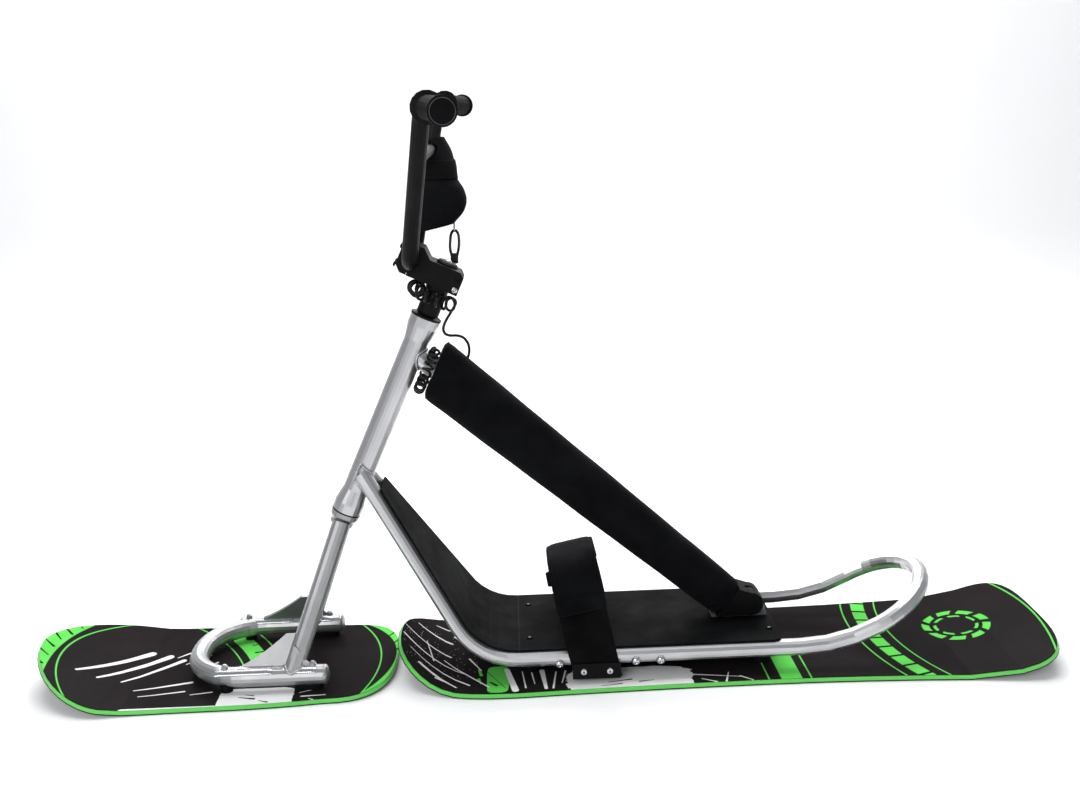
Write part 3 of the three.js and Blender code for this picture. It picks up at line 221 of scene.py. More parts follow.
def sweptTube(name, path, radius, sides=12, closed=False):
    # a circle of the given radius, one number or one per station, carried along the path
    _, normal, side = sweepFrames(path, closed)
    reach = np.broadcast_to(np.asarray(radius, float), (len(path),))[:, None, None]
    ring = aboutLine(circle(sides)[None], normal[:, None], side[:, None])
    return facesOut(gridMesh(name, path[:, None] + reach * ring, closeAlong=closed))


# the strut runs from the steering axis to an aim above its foot
strut = {"topAlong": 276.6, "radius": 16.0, "aimX": 314.8, "aimZ": 73.9}
strutTop = axisPoint(strut["topAlong"])
strutRise = math.atan2(strutTop[2] - strut["aimZ"], strut["aimX"] - strutTop[0])
strutWay = np.array([math.cos(strutRise), 0, -math.sin(strutRise)])
strutUp = np.array([math.sin(strutRise), 0, math.cos(strutRise)])
# how far the strut falls down the steering axis for each step behind it
strutSlope = math.tan(strutRise - steering["rake"])

leash = {
    "radius": 2.2, "upperCurls": 11, "upperCurlRadius": 10.4, "upperRouteRadius": 32.0, "upperTurn": 1.42 * math.pi,
    "lowerCurls": 15, "lowerCurlRadius": 7.6, "lowerRouteBehind": 32.0, "lowerRouteRadius": 29.5,
    "lowerRouteSag": 41.0, "lowerStart": math.radians(376), "lowerTurn": math.radians(268),
    "stemAlong": 384.0, "stemHeight": 35.0, "stemRear": 30.0, "stemSide": 28.4,
    "jointAlong": 336.0, "jointGap": 0.3, "jointBehind": 30.0, "blendFrom": 329, "blendTo": 352,
    "stepsPerCurl": 18, "sides": 12, "step": 2.0, "easings": 4,
}
# the loop through the ring and the start of the way down, from the ring's middle
tetherRoute = [
    (2.2, -38, -43), (6, -27, -30), (6.8, -14, -18), (4.8, -2, -7.5), (0, 0, -2.4),
    (-4.8, -2, -7.5), (-6.8, -15, -19), (-6.8, -28, -31), (-3.4, -38, -43), (-4.5, -46, -54),
]
# the loose bow behind the head tube: up the axis, behind it, to the side
bowRoute = [
    (336, 30, 0), (331.6, 30, 0), (325, 31.5, -1), (320.5, 37, -2), (321.5, 45, -2.5), (325.5, 54, -1.5),
    (326, 64, 0.5), (320.5, 73.5, 4), (310, 80.5, 10), (296, 83.5, 19.5), (282, 82, 29), (270, 75, 36),
    (262.5, 63, 38.5), (264.5, 48.5, 37.5),
]
ringCentre = np.array([-115.03, 82.87, 690.57])


def curlsAlong(route, curls, radius):
    # a helix of the given radius about a route that returns points and their outward ways
    share = np.linspace(0, 1, curls * leash["stepsPerCurl"] + 1)
    point, outward = route(share)
    ahead = route(np.minimum(1, share + 1e-3))[0]
    behind = route(np.maximum(0, share - 1e-3))[0]
    across = np.cross(unit(ahead - behind), outward)
    turns = share * curls
    # a curl has a quarter of its size at each end and all of it three eighths of a turn further in
    swell = np.minimum(1, (8 * np.minimum(turns, curls - turns) + 1) / 4)[:, None]
    angle = (2 * math.pi * turns)[:, None]
    return point + radius * swell * (outward * np.cos(angle) + across * np.sin(angle))


def upperRoute(share):
    # round the spacers under the stem, from the far side round the front to the near side
    around = math.pi / 2 + share * leash["upperTurn"]
    along = leash["stemAlong"] - leash["upperCurlRadius"] - 2 * leash["radius"]
    reach = leash["upperRouteRadius"]
    point = axisPoint(along, reach * np.cos(around), reach * np.sin(around))
    return point, unit(point - axisPoint(along))


def lowerRoute(share):
    # round the bare top of the strut, from the far side under it, where it sags, and up the near side
    around = leash["lowerStart"] - share * leash["lowerTurn"]
    middle = strut["topAlong"] - leash["lowerRouteBehind"] * strutSlope
    reach = np.where(np.sin(around) > 0, leash["lowerRouteRadius"], leash["lowerRouteSag"])
    side = leash["lowerRouteRadius"] * np.cos(around)
    point = axisPoint(middle + reach * np.sin(around), leash["lowerRouteBehind"], side)
    return point, unit(point - axisPoint(middle, leash["lowerRouteBehind"]))


def leashPath():
    # loop through the ring, down the stem's far side, curls, bow, curls, and into the strut
    r = leash["radius"]
    upper = curlsAlong(upperRoute, leash["upperCurls"], leash["upperCurlRadius"])
    lower = curlsAlong(lowerRoute, leash["lowerCurls"], leash["lowerCurlRadius"])
    lead = smoothLine(np.vstack([
        np.array(tetherRoute) + ringCentre,
        axisPoint(leash["stemAlong"] + leash["stemHeight"] / 2, leash["stemRear"] / 6, leash["stemSide"]),
        axisPoint(leash["stemAlong"], 0, leash["stemSide"] + r), upper[:1]]), leash["step"])
    high = leash["jointAlong"] + leash["jointGap"]
    tail = smoothLine(np.vstack([
        upper[-1:], axisPoint(high + 8 * r, leash["jointBehind"] + r), axisPoint(high + 2 * r, leash["jointBehind"]),
        axisPoint(high, leash["jointBehind"])]), leash["step"])
    bow = smoothLine(np.vstack([axisPoint(*np.array(bowRoute, float).T), lower[:1]]), leash["step"])
    middle = strut["topAlong"] - leash["lowerRouteBehind"] * strutSlope
    inward = axisPoint(middle, leash["lowerRouteBehind"]) - lower[-1]
    # the cord's end stops just short of the strut's skin
    reach = np.linalg.norm(inward) - strut["radius"] - 0.6 - r / 4
    inner = lower[-1] + unit(inward) * reach
    foot = lower[-1] + (inner - lower[-1]) * np.linspace(0, 1, 6)[1:, None]
    path = evenSteps(np.vstack([lead[:-1], upper, tail[1:-1], bow, lower[1:], foot])[::-1], leash["step"])
    # each point moves half way to the mean of its two neighbours, which rounds the places where two runs meet
    for _ in range(leash["easings"]):
        path[1:-1] = (path[:-2] + 2 * path[1:-1] + path[2:]) / 4
    return path


crimpValues = {"from": (-0.6, -38, -43), "way": (0.0, -11.0, -12.5), "wide": 6.2, "thick": 3.6, "sides": 28}
# distance along the crimp and the share of its full girth there
crimpProfile = np.array([
    (-8.0, 0.86), (-7.6, 0.97), (-6.4, 1.0), (-3.0, 0.94), (0.0, 0.98),
    (3.0, 0.94), (6.4, 1.0), (7.6, 0.97), (8.0, 0.86),
])


def addLeash(v):
    path = leashPath()
    cord = sweptTube("leash_cord", path, leash["radius"], leash["sides"])
    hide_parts("leash_cord_upper", "leash_cord_lower")
    tuple(axisPoint(leash["blendFrom"], leash["jointBehind"]) * mm)
    tuple(axisPoint(leash["blendTo"], leash["jointBehind"]) * mm)
    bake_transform(cord)
    # the crimp holds the loop's end against the other strand: an oval carried along the strands
    way = unit(np.array(v["way"]))
    side = np.array([1.0, 0.0, 0.0])
    run, grow = crimpProfile.T[:, :, None, None]
    oval = aboutLine(circle(v["sides"])[None], side * v["wide"], np.cross(way, side) * v["thick"]) * grow
    crimp = facesOut(gridMesh("leash_crimp", ringCentre + np.array(v["from"]) + run * way + oval))
    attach(crimp, "steering")
    return cord, crimp


leashCord, leashCrimp = addLeash(crimpValues)


def startMaterial(name):
    # an empty material, its node tree and its shader
    material = bpy.data.materials.new(name)
    material.use_nodes = True
    return material, material.node_tree, material.node_tree.nodes["Principled BSDF"]


def addNode(tree, kind, inputs=None, **settings):
    node = tree.nodes.new(kind)
    for key, value in settings.items():
        setattr(node, key, value)
    for key, value in (inputs or {}).items():
        if isinstance(value, bpy.types.NodeSocket):
            tree.links.new(value, node.inputs[key])
        else:
            node.inputs[key].default_value = value
    return node


def calc(tree, operation, *values):
    return addNode(tree, "ShaderNodeMath", dict(enumerate(values)), operation=operation).outputs[0]


def place(tree, kind="Object"):
    return addNode(tree, "ShaderNodeTexCoord").outputs[kind]


def stretched(tree, coords, scale, turn=0.0):
    return addNode(tree, "ShaderNodeMapping", {"Vector": coords, "Scale": scale, "Rotation": (0, 0, turn)}).outputs[0]


def noise(tree, coords, scale, detail=2.0, roughness=0.5):
    inputs = {"Vector": coords, "Scale": scale, "Detail": detail, "Roughness": roughness}
    return addNode(tree, "ShaderNodeTexNoise", inputs).outputs["Fac"]


def span(tree, value, low, high, toLow, toHigh):
    # value carried from low..high to toLow..toHigh and held there
    inputs = {"Value": value, "From Min": low, "From Max": high, "To Min": toLow, "To Max": toHigh}
    return addNode(tree, "ShaderNodeMapRange", inputs, clamp=True).outputs[0]


def blendColours(tree, share, first, second):
    return addNode(tree, "ShaderNodeMix", {0: share, 6: first, 7: second}, data_type="RGBA").outputs[2]


def mottled(tree, blotch, low, high, values):
    # from the dark tone to the light one as the blotch goes from low to high
    return blendColours(tree, span(tree, blotch, low, high, 0, 1), values["dark"], values["light"])


def bumpFrom(tree, height, strength, distance):
    inputs = {"Height": height, "Strength": strength, "Distance": distance}
    return addNode(tree, "ShaderNodeBump", inputs).outputs[0]


def put(tree, shader, **sockets):
    for name, value in sockets.items():
        key = name.replace("_", " ")
        if isinstance(value, bpy.types.NodeSocket):
            tree.links.new(value, shader.inputs[key])
        else:
            shader.inputs[key].default_value = value


metalColumns = ("dark", "light", "rough", "grain", "metal")
metals = {
    "satinAluminium": ((0.50, 0.50, 0.51, 1), (0.58, 0.58, 0.59, 1), (0.27, 0.33), 0.02, 0.88),
    "castAluminium": ((0.33, 0.335, 0.34, 1), (0.42, 0.425, 0.43, 1), (0.30, 0.38), 0.05, 0.75),
    "boltSteel": ((0.50, 0.50, 0.52, 1), (0.66, 0.66, 0.68, 1), (0.16, 0.26), 0.02, 1.0),
    "weldMetal": ((0.34, 0.34, 0.36, 1), (0.50, 0.50, 0.52, 1), (0.20, 0.30), 0.03, 0.9),
    # this dark steel is also the colour of the painted shade in the key sockets
    "dullSteelAndSocketShade": ((0.09, 0.09, 0.092, 1), (0.13, 0.13, 0.132, 1), (0.40, 0.5), 0.05, 1.0),
}


def makeMetal(name, values):
    # blotches of tone and gloss, with a fine blasted grain
    material, tree, shader = startMaterial(name)
    coords = place(tree)
    blotch = noise(tree, coords, 14, 3, 0.55)
    fine = noise(tree, coords, 1400, 2, 0.6)
    low, high = values["rough"]
    put(tree, shader, Base_Color=mottled(tree, blotch, 0.3, 0.7, values), Metallic=values["metal"],
        Roughness=span(tree, blotch, 0.3, 0.75, high, low), Normal=bumpFrom(tree, fine, values["grain"], 0.0004))
    return material


# shine is the strength of a thin glossy film over a matt body
coatColumns = ("dark", "light", "rough", "grainScale", "grain", "shine", "shineRough")
coats = {
    "blackCoat": ((0.0036, 0.0036, 0.0040, 1), (0.0065, 0.0065, 0.0070, 1), (0.40, 0.55), 900, 0.06, 0.16, 0.34),
    # black rubber, which also gives the colour of the painted shade strip in the slot by the leg guard
    "blackRubberAndSlotShade": ((0.0040, 0.0040, 0.0042, 1), (0.0075, 0.0075, 0.0077, 1), (0.65, 0.80), 1500, 0.20, 0.10, 0.5),
    "deckPlastic": ((0.0022, 0.0025, 0.0028, 1), (0.0044, 0.0049, 0.0054, 1), (0.60, 0.75), 650, 0.25, 0.012, 0.5),
    "mouldedPlastic": ((0.0034, 0.0036, 0.0040, 1), (0.0065, 0.0067, 0.0073, 1), (0.50, 0.65), 1100, 0.12, 0.09, 0.36),
    "cordPlastic": ((0.0030, 0.0030, 0.0034, 1), (0.0060, 0.0060, 0.0066, 1), (0.30, 0.40), 600, 0.04, 0.40, 0.25),
    "boardBase": ((0.008, 0.008, 0.009, 1), (0.015, 0.015, 0.016, 1), (0.35, 0.5), 300, 0.08, 0.2, 0.3),
}


def makeCoat(name, values):
    # dark moulded or coated surface: soft blotches, rubbed lighter patches and a fine grain
    material, tree, shader = startMaterial(name)
    coords = place(tree)
    blotch = noise(tree, coords, 22, 4, 0.6)
    grain = noise(tree, coords, values["grainScale"], 3, 0.6)
    low, high = values["rough"]
    put(tree, shader, Base_Color=mottled(tree, blotch, 0.35, 0.7, values),
        Roughness=span(tree, blotch, 0.3, 0.7, high, low),
        Specular_IOR_Level=0.02, Coat_Weight=values["shine"], Coat_Roughness=values["shineRough"],
        Normal=bumpFrom(tree, grain, values["grain"], 0.0006))
    return material


# pitch is the distance between threads along and across, in metres
clothColumns = ("dark", "light", "pitch", "depth")
cloths = {
    "neoprene": ((0.0024, 0.0026, 0.0032, 1), (0.0054, 0.0057, 0.0068, 1), (0.0011, 0.0009), 0.25),
    "webbing": ((0.0018, 0.0018, 0.0021, 1), (0.0048, 0.0048, 0.0054, 1), (0.0016, 0.0022), 0.45),
    "paddedCloth": ((0.0024, 0.0026, 0.0036, 1), (0.0056, 0.0060, 0.0074, 1), (0.0013, 0.0013), 0.35),
}


def makeCloth(name, values):
    # two sets of waves crossing on the piece's own map give the knit or weave
    material, tree, shader = startMaterial(name)
    split = addNode(tree, "ShaderNodeSeparateXYZ", {0: place(tree, "UV")})
    along = calc(tree, "MULTIPLY", split.outputs[0], 2 * math.pi / values["pitch"][0])
    across = calc(tree, "MULTIPLY", split.outputs[1], 2 * math.pi / values["pitch"][1])
    half = calc(tree, "MULTIPLY", across, 0.5)
    weave = calc(tree, "MULTIPLY", calc(tree, "SINE", calc(tree, "ADD", along, half)), calc(tree, "SINE", across))
    fuzz = noise(tree, place(tree), 420, 3, 0.6)
    wear = noise(tree, place(tree), 17, 4, 0.6)
    height = calc(tree, "ADD", calc(tree, "MULTIPLY", weave, 0.5), fuzz)
    put(tree, shader, Base_Color=mottled(tree, wear, 0.35, 0.7, values),
        Roughness=span(tree, wear, 0.3, 0.7, 0.92, 0.78), Specular_IOR_Level=0.04, Sheen_Weight=0.02,
        Sheen_Roughness=0.5, Normal=bumpFrom(tree, height, values["depth"], 0.0004))
    return material


finishes = {}
for make, columns, table in ((makeMetal, metalColumns, metals), (makeCoat, coatColumns, coats),
                             (makeCloth, clothColumns, cloths)):
    for name, row in table.items():
        finishes[name] = make(name, dict(zip(columns, row)))

boardInks = {
    "field": {"dark": (0.0135, 0.0110, 0.0116, 1), "light": (0.0175, 0.0145, 0.0152, 1)},
    "green": {"dark": (0.102, 0.578, 0.080, 1), "light": (0.14, 0.66, 0.11, 1)},
    "white": (0.82, 0.82, 0.82, 1),
}
# half the width over which a printed edge fades, in metres
edgeSoftness = 0.0004


class TopSheetDrawing:
    # lays marks over each other on the plan of a board, in millimetres of the shared frame

    def __init__(self, name):
        self.material, self.tree, self.shader = startMaterial(name)
        self.coords = place(self.tree)
        self.flat = self.vector("MULTIPLY", self.coords, (1, 1, 0))
        self.split = addNode(self.tree, "ShaderNodeSeparateXYZ", {0: self.coords})
        wear = noise(self.tree, self.coords, 9, 4, 0.6)
        self.colour = mottled(self.tree, wear, 0.35, 0.7, boardInks["field"])
        self.green = mottled(self.tree, wear, 0.35, 0.7, boardInks["green"])

    def calc(self, operation, *values):
        return calc(self.tree, operation, *values)

    def span(self, value, *limits):
        return span(self.tree, value, *limits)

    def vector(self, operation, first, second, output=0):
        inputs = {0: first, 1: second}
        return addNode(self.tree, "ShaderNodeVectorMath", inputs, operation=operation).outputs[output]

    def both(self, *masks):
        result = masks[0]
        for mask in masks[1:]:
            result = self.calc("MULTIPLY", result, mask)
        return result

    def paint(self, colour, *masks):
        inks = {"green": self.green, "field": boardInks["field"]["dark"], "white": boardInks["white"]}
        self.colour = blendColours(self.tree, self.both(*masks), self.colour, inks[colour])

    def strokes(self, colour, marks, *masks):
        for mark in marks:
            self.paint(colour, self.stroke(*mark), *masks)

    def at(self, centre):
        return (centre[0] * mm, centre[1] * mm, 0)

    def distance(self, centre):
        return self.vector("DISTANCE", self.flat, self.at(centre), "Value")

    def over(self, value, limit):
        # 0 where the value is under the limit, rising to 1 over the softness of a printed edge
        return self.span(value, limit * mm - edgeSoftness, limit * mm + edgeSoftness, 0, 1)

    def near(self, value, limit, half):
        # 1 where the value is nearer to the limit than half
        off = self.calc("ABSOLUTE", self.calc("SUBTRACT", value, limit * mm))
        return self.span(off, half * mm - edgeSoftness, half * mm + edgeSoftness, 1, 0)

    def past(self, axis, limit, way):
        # 1 beyond a straight line along (axis 1) or across (axis 0) the board, on its high (way 1) or low (way -1) side
        return self.over(self.calc("MULTIPLY", self.split.outputs[axis], way), way * limit)

    def outside(self, centre, radius):
        return self.over(self.distance(centre), radius)

    def ring(self, centre, radius, half):
        return self.near(self.distance(centre), radius, half)

    def brokenRing(self, centre, radius, half, pieces, gap, slant):
        # the ring less slanted gaps at equal angles
        parts = addNode(self.tree, "ShaderNodeSeparateXYZ", {0: self.vector("SUBTRACT", self.flat, self.at(centre))})
        angle = self.calc("ARCTAN2", parts.outputs[1], parts.outputs[0])
        lean = self.calc("MULTIPLY", self.distance(centre), slant / mm / radius)
        turn = self.calc("FRACT", self.calc("ADD", self.calc("MULTIPLY", angle, pieces / (2 * math.pi)), lean))
        off = self.calc("ABSOLUTE", self.calc("SUBTRACT", turn, 0.5))
        return self.both(self.ring(centre, radius, half), self.span(off, gap / 2, gap / 2 + 0.02, 0, 1))

    def stroke(self, start, end, halfStart, halfEnd):
        # every place nearer to the line from start to end than a half width that changes along it
        way = self.at((end[0] - start[0], end[1] - start[1]))
        off = self.vector("SUBTRACT", self.flat, self.at(start))
        along = self.vector("DOT_PRODUCT", off, way, "Value")
        share = self.span(along, 0, way[0] ** 2 + way[1] ** 2, 0, 1)
        foot = addNode(self.tree, "ShaderNodeVectorMath", {0: way, "Scale": share}, operation="SCALE").outputs[0]
        width = self.span(share, 0, 1, halfStart * mm, halfEnd * mm)
        beyond = self.calc("SUBTRACT", self.vector("DISTANCE", off, foot, "Value"), width)
        return self.span(beyond, -edgeSoftness, edgeSoftness, 1, 0)

    def bar(self, x, half, lean):
        # a stripe across the board that leans and widens towards one edge
        at = self.calc("ADD", self.split.outputs[0], self.calc("MULTIPLY", self.split.outputs[1], lean))
        return self.near(at, x, half)

    def torn(self, centre, reach, ragged, scale, square):
        # an ellipse, squarer with a higher power, whose edge is pulled about by long grained noise
        powers = []
        for output, middle, half in zip(self.split.outputs, centre, reach):
            share = self.calc("DIVIDE", self.calc("SUBTRACT", output, middle * mm), half * mm)
            powers.append(self.calc("POWER", self.calc("ABSOLUTE", share), square))
        grain = noise(self.tree, stretched(self.tree, self.coords, (1, 5, 1)), scale, 4, 0.62)
        pull = self.calc("MULTIPLY", self.calc("SUBTRACT", grain, 0.5), ragged)
        return self.span(self.calc("ADD", self.calc("ADD", *powers), pull), 0.97, 1.0, 1, 0)

    def flecks(self, turn, scale, stretch, size, keep, zone):
        # short strokes: stretched cells, some of them left out, inside a round zone
        spread = stretched(self.tree, self.flat, (1, stretch, 1), turn)
        cells = addNode(self.tree, "ShaderNodeTexVoronoi", {"Vector": spread, "Scale": scale}, voronoi_dimensions="2D")
        spot = self.span(cells.outputs["Distance"], size, size + 0.03, 1, 0)
        chance = addNode(self.tree, "ShaderNodeSeparateColor", {0: cells.outputs["Color"]}).outputs[0]
        centre, radius = zone
        area = self.span(self.distance(centre), radius * mm, (radius + 12) * mm, 1, 0)
        return self.both(spot, self.calc("LESS_THAN", chance, keep), area)

    def finish(self):
        scuff = noise(self.tree, stretched(self.tree, self.coords, (1, 7, 1), 0.3), 60, 4, 0.7)
        grain = noise(self.tree, self.coords, 700, 2, 0.5)
        put(self.tree, self.shader, Base_Color=self.colour, Roughness=self.span(scuff, 0.3, 0.75, 0.5, 0.65),
            Specular_IOR_Level=0.0, Coat_Weight=0.03, Coat_Roughness=0.3,
            Normal=bumpFrom(self.tree, grain, 0.05, 0.0003))
        return self.material


# straight marks as start, end, half width at each; all places on the boards are in millimetres
frontStrokes = [
    ((-738, -46), (-646, 46), 2.2, 6.4), ((-704, -54), (-614, 34), 2.2, 6.4), ((-666, -58), (-588, 18), 1.6, 4.8),
    ((-600, 30), (-570, 58), 1.0, 2.6), ((-580, 4), (-548, 34), 1.0, 2.6), ((-562, -24), (-530, 6), 0.8, 2.0),
    ((-640, -84), (-556, -62), 1.0, 3.0), ((-628, -104), (-560, -92), 0.8, 1.8), ((-548, -104), (-516, -98), 0.8, 1.6),
    ((-379, -112), (-352, -100), 0.7, 1.6), ((-374, -124), (-338, -122), 1.6, 0.7),
    ((-362, -132), (-344, -142), 0.7, 1.4),
]
noseFlecks = [
    ((-784, 24), (-803, 44), 1.4, 2.8), ((-786, -4), (-804, 8), 2.6, 1.0), ((-776, 52), (-800, 72), 2.6, 1.2),
    ((-768, 82), (-790, 100), 1.2, 2.8), ((-756, 106), (-774, 124), 2.6, 1.2), ((-744, 126), (-756, 140), 1.2, 2.4),
    ((-784, -34), (-804, -22), 1.2, 2.4), ((-784, -62), (-800, -52), 2.2, 1.0),
]
middleFlecks = [
    ((-520, 118), (-508, 136), 2.0, 1.2), ((-484, 66), (-456, 78), 1.6, 2.4), ((-474, 38), (-442, 46), 2.4, 1.2),
    ((-462, 4), (-430, 8), 1.2, 2.2), ((-494, 94), (-472, 108), 1.2, 2.0),
]
tailFlecks = [
    ((-262, 70), (-246, 92), 1.2, 2.2), ((-252, 34), (-240, 58), 2.2, 1.2), ((-246, 4), (-238, 22), 1.0, 1.8),
    ((-262, -64), (-250, -50), 2.0, 1.0),
]
patchFlecks = [
    ((-470, -120), (-446, -126), 1.0, 2.4), ((-462, -112), (-448, -116), 0.8, 1.4),
    ((-438, -132), (-424, -138), 0.8, 1.8), ((-600, -147), (-566, -147), 0.4, 0.9),
]
# torn patches: centre, half length and half width, raggedness, scale of the grain, squareness
whitePatches = (((-444, -124), (57, 33), 0.55, 40, 6.0), ((-564, -148), (82, 5.5), 0.7, 45, 4.0))
# centre, radius and half width of rings; the cut is the line that each stops at
frontRings = {"centre": (-850, -150), "lines": (391, 451), "lineHalf": 1.1, "band": 419, "bandHalf": 14, "cut": -74}
noseArc = {"ring": ((-565, -8), 205.6, 1.2), "edge": ((-408, -26), 371.6), "cut": (0, -690, -1)}
tailArc = {"ring": ((-540, -20), 277, 1.2), "ringCut": (0, -420, 1), "edge": ((-420, -4), 181), "cut": (0, -400, 1)}


def frontTopSheet():
    sheet = TopSheetDrawing("frontTopSheet")
    v = frontRings
    far = sheet.past(1, v["cut"], 1)
    for radius in v["lines"]:
        sheet.paint("green", sheet.ring(v["centre"], radius, v["lineHalf"]), far)
    band = sheet.both(sheet.ring(v["centre"], v["band"], v["bandHalf"]), far)
    sheet.paint("green", band)
    sheet.strokes("field", middleFlecks, band)
    for patch in whitePatches:
        sheet.paint("white", sheet.torn(*patch))
    sheet.strokes("field", patchFlecks)
    sheet.strokes("white", frontStrokes)
    sheet.paint("green", sheet.ring(*noseArc["ring"]), sheet.past(*noseArc["cut"]))
    sheet.paint("green", sheet.outside(*noseArc["edge"]), sheet.past(*noseArc["cut"]))
    sheet.strokes("field", noseFlecks)
    sheet.paint("green", sheet.ring(*tailArc["ring"]), sheet.past(*tailArc["ringCut"]))
    sheet.paint("green", sheet.outside(*tailArc["edge"]), sheet.past(*tailArc["cut"]))
    sheet.strokes("field", tailFlecks)
    return sheet.finish()


# fans and forks of white marks in the places of the drawings left out
rearStrokes = [
    ((-228, 40), (-150, -16), 0.7, 1.6), ((-224, 4), (-128, -72), 1.8, 0.7), ((-206, 70), (-150, 34), 0.8, 2.2),
    ((-212, -30), (-118, -112), 0.7, 1.5), ((-196, -66), (-138, -118), 3.0, 1.2), ((-190, 20), (-176, -40), 0.6, 1.2),
    ((-160, -30), (-88, -120), 0.8, 1.4), ((-146, 62), (-122, 30), 2.4, 0.8), ((-178, 92), (-156, 84), 0.8, 1.6),
    ((-120, -20), (-100, -64), 1.6, 0.7), ((-170, -96), (-158, -102), 2.0, 1.0), ((-60, -64), (-47, -134), 4.2, 5.4),
    ((-36, -72), (-31, -128), 0.7, 1.2), ((-22, -70), (-17, -116), 1.2, 0.7), ((-5, -72), (0, -132), 4.0, 2.6),
    ((17, -78), (11, -132), 1.0, 1.6), ((32, -76), (25, -116), 1.5, 0.8),
    ((226, -106), (300, -120), 1.6, 0.8), ((284, -104), (276, -134), 0.7, 1.5), ((300, -118), (318, -134), 1.4, 0.7),
    ((240, -122), (262, -134), 0.7, 1.3),
]
swathMarks = [
    ((96, -120), (132, -114), 0.8, 1.8), ((144, -122), (166, -119), 1.6, 0.8), ((84, -132), (116, -127), 0.6, 1.4),
]
greenMarks = [((-104, -60), (-100, -80), 1.6, 2.6), ((-104, -92), (-100, -108), 2.4, 1.2)]
greenCuts = [((-86, -104), (-76, -116), 1.4, 2.6), ((-90, -70), (-62, -126), 0.6, 0.6)]
greenPatch, swathPatch = ((-74, -96), (17, 44), 0.8, 45, 5.0), ((130, -112), (98, 40), 0.8, 30, 4.0)
# turn, scale, stretch and size of the flecks, the share kept, and their zone's centre and radius
scatter = (0.7, 190, 1.6, 0.10, 0.10, ((-165, -10), 80))
rearBars = {"places": ((339, 1.2), (374, 16), (404, 1.2)), "lean": 0.02, "cut": (1, -45, -1)}
# radius, half width, and for a broken ring the pieces, their gap's share and its slant
rearRings = [((960, 45), 448, 1.2), ((960, 45), 420, 11, 76, 0.14, 1.1), ((960, 45), 391, 1.2),
             ((684, 22), 48, 6, 9, 0.3, 0.6), ((684, 22), 33, 2.5, 7, 0.35, -0.5)]
endArc = {"ring": ((246, -3), 552, 1.2), "edge": ((246, -3), 566), "cut": (0, 700, 1), "side": (1, 80, 1)}


def rearTopSheet():
    sheet = TopSheetDrawing("rearTopSheet")
    sheet.paint("green", sheet.torn(*greenPatch))
    sheet.strokes("green", greenMarks)
    sheet.strokes("field", greenCuts)
    sheet.strokes("white", rearStrokes)
    sheet.paint("white", sheet.flecks(*scatter))
    sheet.paint("white", sheet.torn(*swathPatch))
    sheet.strokes("field", swathMarks)
    near = sheet.past(*rearBars["cut"])
    for x, half in rearBars["places"]:
        sheet.paint("green", sheet.bar(x, half, rearBars["lean"]), near)
    for ring in rearRings:
        sheet.paint("green", sheet.ring(*ring) if len(ring) == 3 else sheet.brokenRing(*ring))
    sheet.paint("green", sheet.ring(*endArc["ring"]), sheet.past(*endArc["cut"]))
    sheet.paint("green", sheet.outside(*endArc["edge"]), sheet.past(*endArc["cut"]), sheet.past(*endArc["side"]))
    return sheet.finish()


def sidewallMaterial():
    # bright moulded edge, with fine saw lines and rubbed places
    material, tree, shader = startMaterial("greenSidewall")
    coords = place(tree)
    rub = noise(tree, stretched(tree, coords, (1, 1, 9)), 35, 4, 0.65)
    lines = noise(tree, stretched(tree, coords, (1, 1, 20)), 240, 2)
    put(tree, shader, Base_Color=mottled(tree, rub, 0.3, 0.75, boardInks["green"]),
        Roughness=span(tree, rub, 0.3, 0.7, 0.35, 0.5), Normal=bumpFrom(tree, lines, 0.15, 0.0003))
    return material


finishes["frontTopSheet"] = frontTopSheet()
finishes["rearTopSheet"] = rearTopSheet()
finishes["greenSidewall"] = sidewallMaterial()
print("materials made:", len(finishes))

# the CAD nodes that have each finish, by the starts of their names
nodeFinishes = {
    "frontTopSheet": ("front_board_top",), "rearTopSheet": ("rear_board_top",),
    "greenSidewall": ("front_board_core", "rear_board_core"), "boardBase": ("front_board_base", "rear_board_base"),
    "satinAluminium": ("head_tube", "side_rail_loop", "strut_tube", "cross_member", "strut_bracket"),
    "castAluminium": ("fork_", "foot_loop", "foot_bolt"), "boltSteel": ("upper_bearing", "strap_bolt", "leash_ring"),
    "blackCoat": ("lower_bearing", "headset_cover", "spacer_stack", "stem_", "handlebar", "strut_bolt"),
    "blackRubberAndSlotShade": ("front_damper", "rear_damper", "deck_damper", "grip_"),
    "deckPlastic": ("deck_panel", "leg_guard"), "mouldedPlastic": ("strut_shoe", "strap_plate", "bar_plug"),
    "cordPlastic": ("leash_cord",), "neoprene": ("strut_sleeve", "leash_cuff"), "webbing": ("foot_strap",),
}


def dressNodes():
    for name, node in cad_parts.items():
        finish = next(finish for finish, starts in nodeFinishes.items() if name.startswith(starts))
        for holder in node.material_slots:
            holder.material = finishes[finish]
        if not node.material_slots:
            node.data.materials.append(finishes[finish])


dressNodes()


def dress(piece, finish, slot, body=None, *nodes):
    # gives a piece its finish and its body, and hides the CAD nodes that it stands for; the slot is not used
    piece.data.materials.append(finishes[finish])
    if body:
        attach(piece, body)
    if nodes:
        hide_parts(*nodes)
    return piece


leashCord.data.materials.append(finishes["cordPlastic"])
leashCrimp.data.materials.append(finishes["blackCoat"])


# The padded sleeve on the strut
shoeCentre = np.array([335.0, 0.0, 85.6])
sleeve = {
    "start": 44.0, "beforeShoe": 31.0, "floor": 67.2,
    "topTall": 46.0, "topWide": 33.0, "endTall": 33.0, "endWide": 28.0,
    "bore": 17.0, "boreInset": 1.5, "roundness": 2.25, "hem": 9.0, "seamDepth": 1.6, "seamWidth": 0.05, "wrinkle": 0.35,
    "crown": 0.012, "rollDepth": 0.16, "rollWidth": 2.2, "stitchDepth": 0.018, "stitchWidth": 1.4,
    "rows": 150, "columns": 96, "boreRows": 24,
}


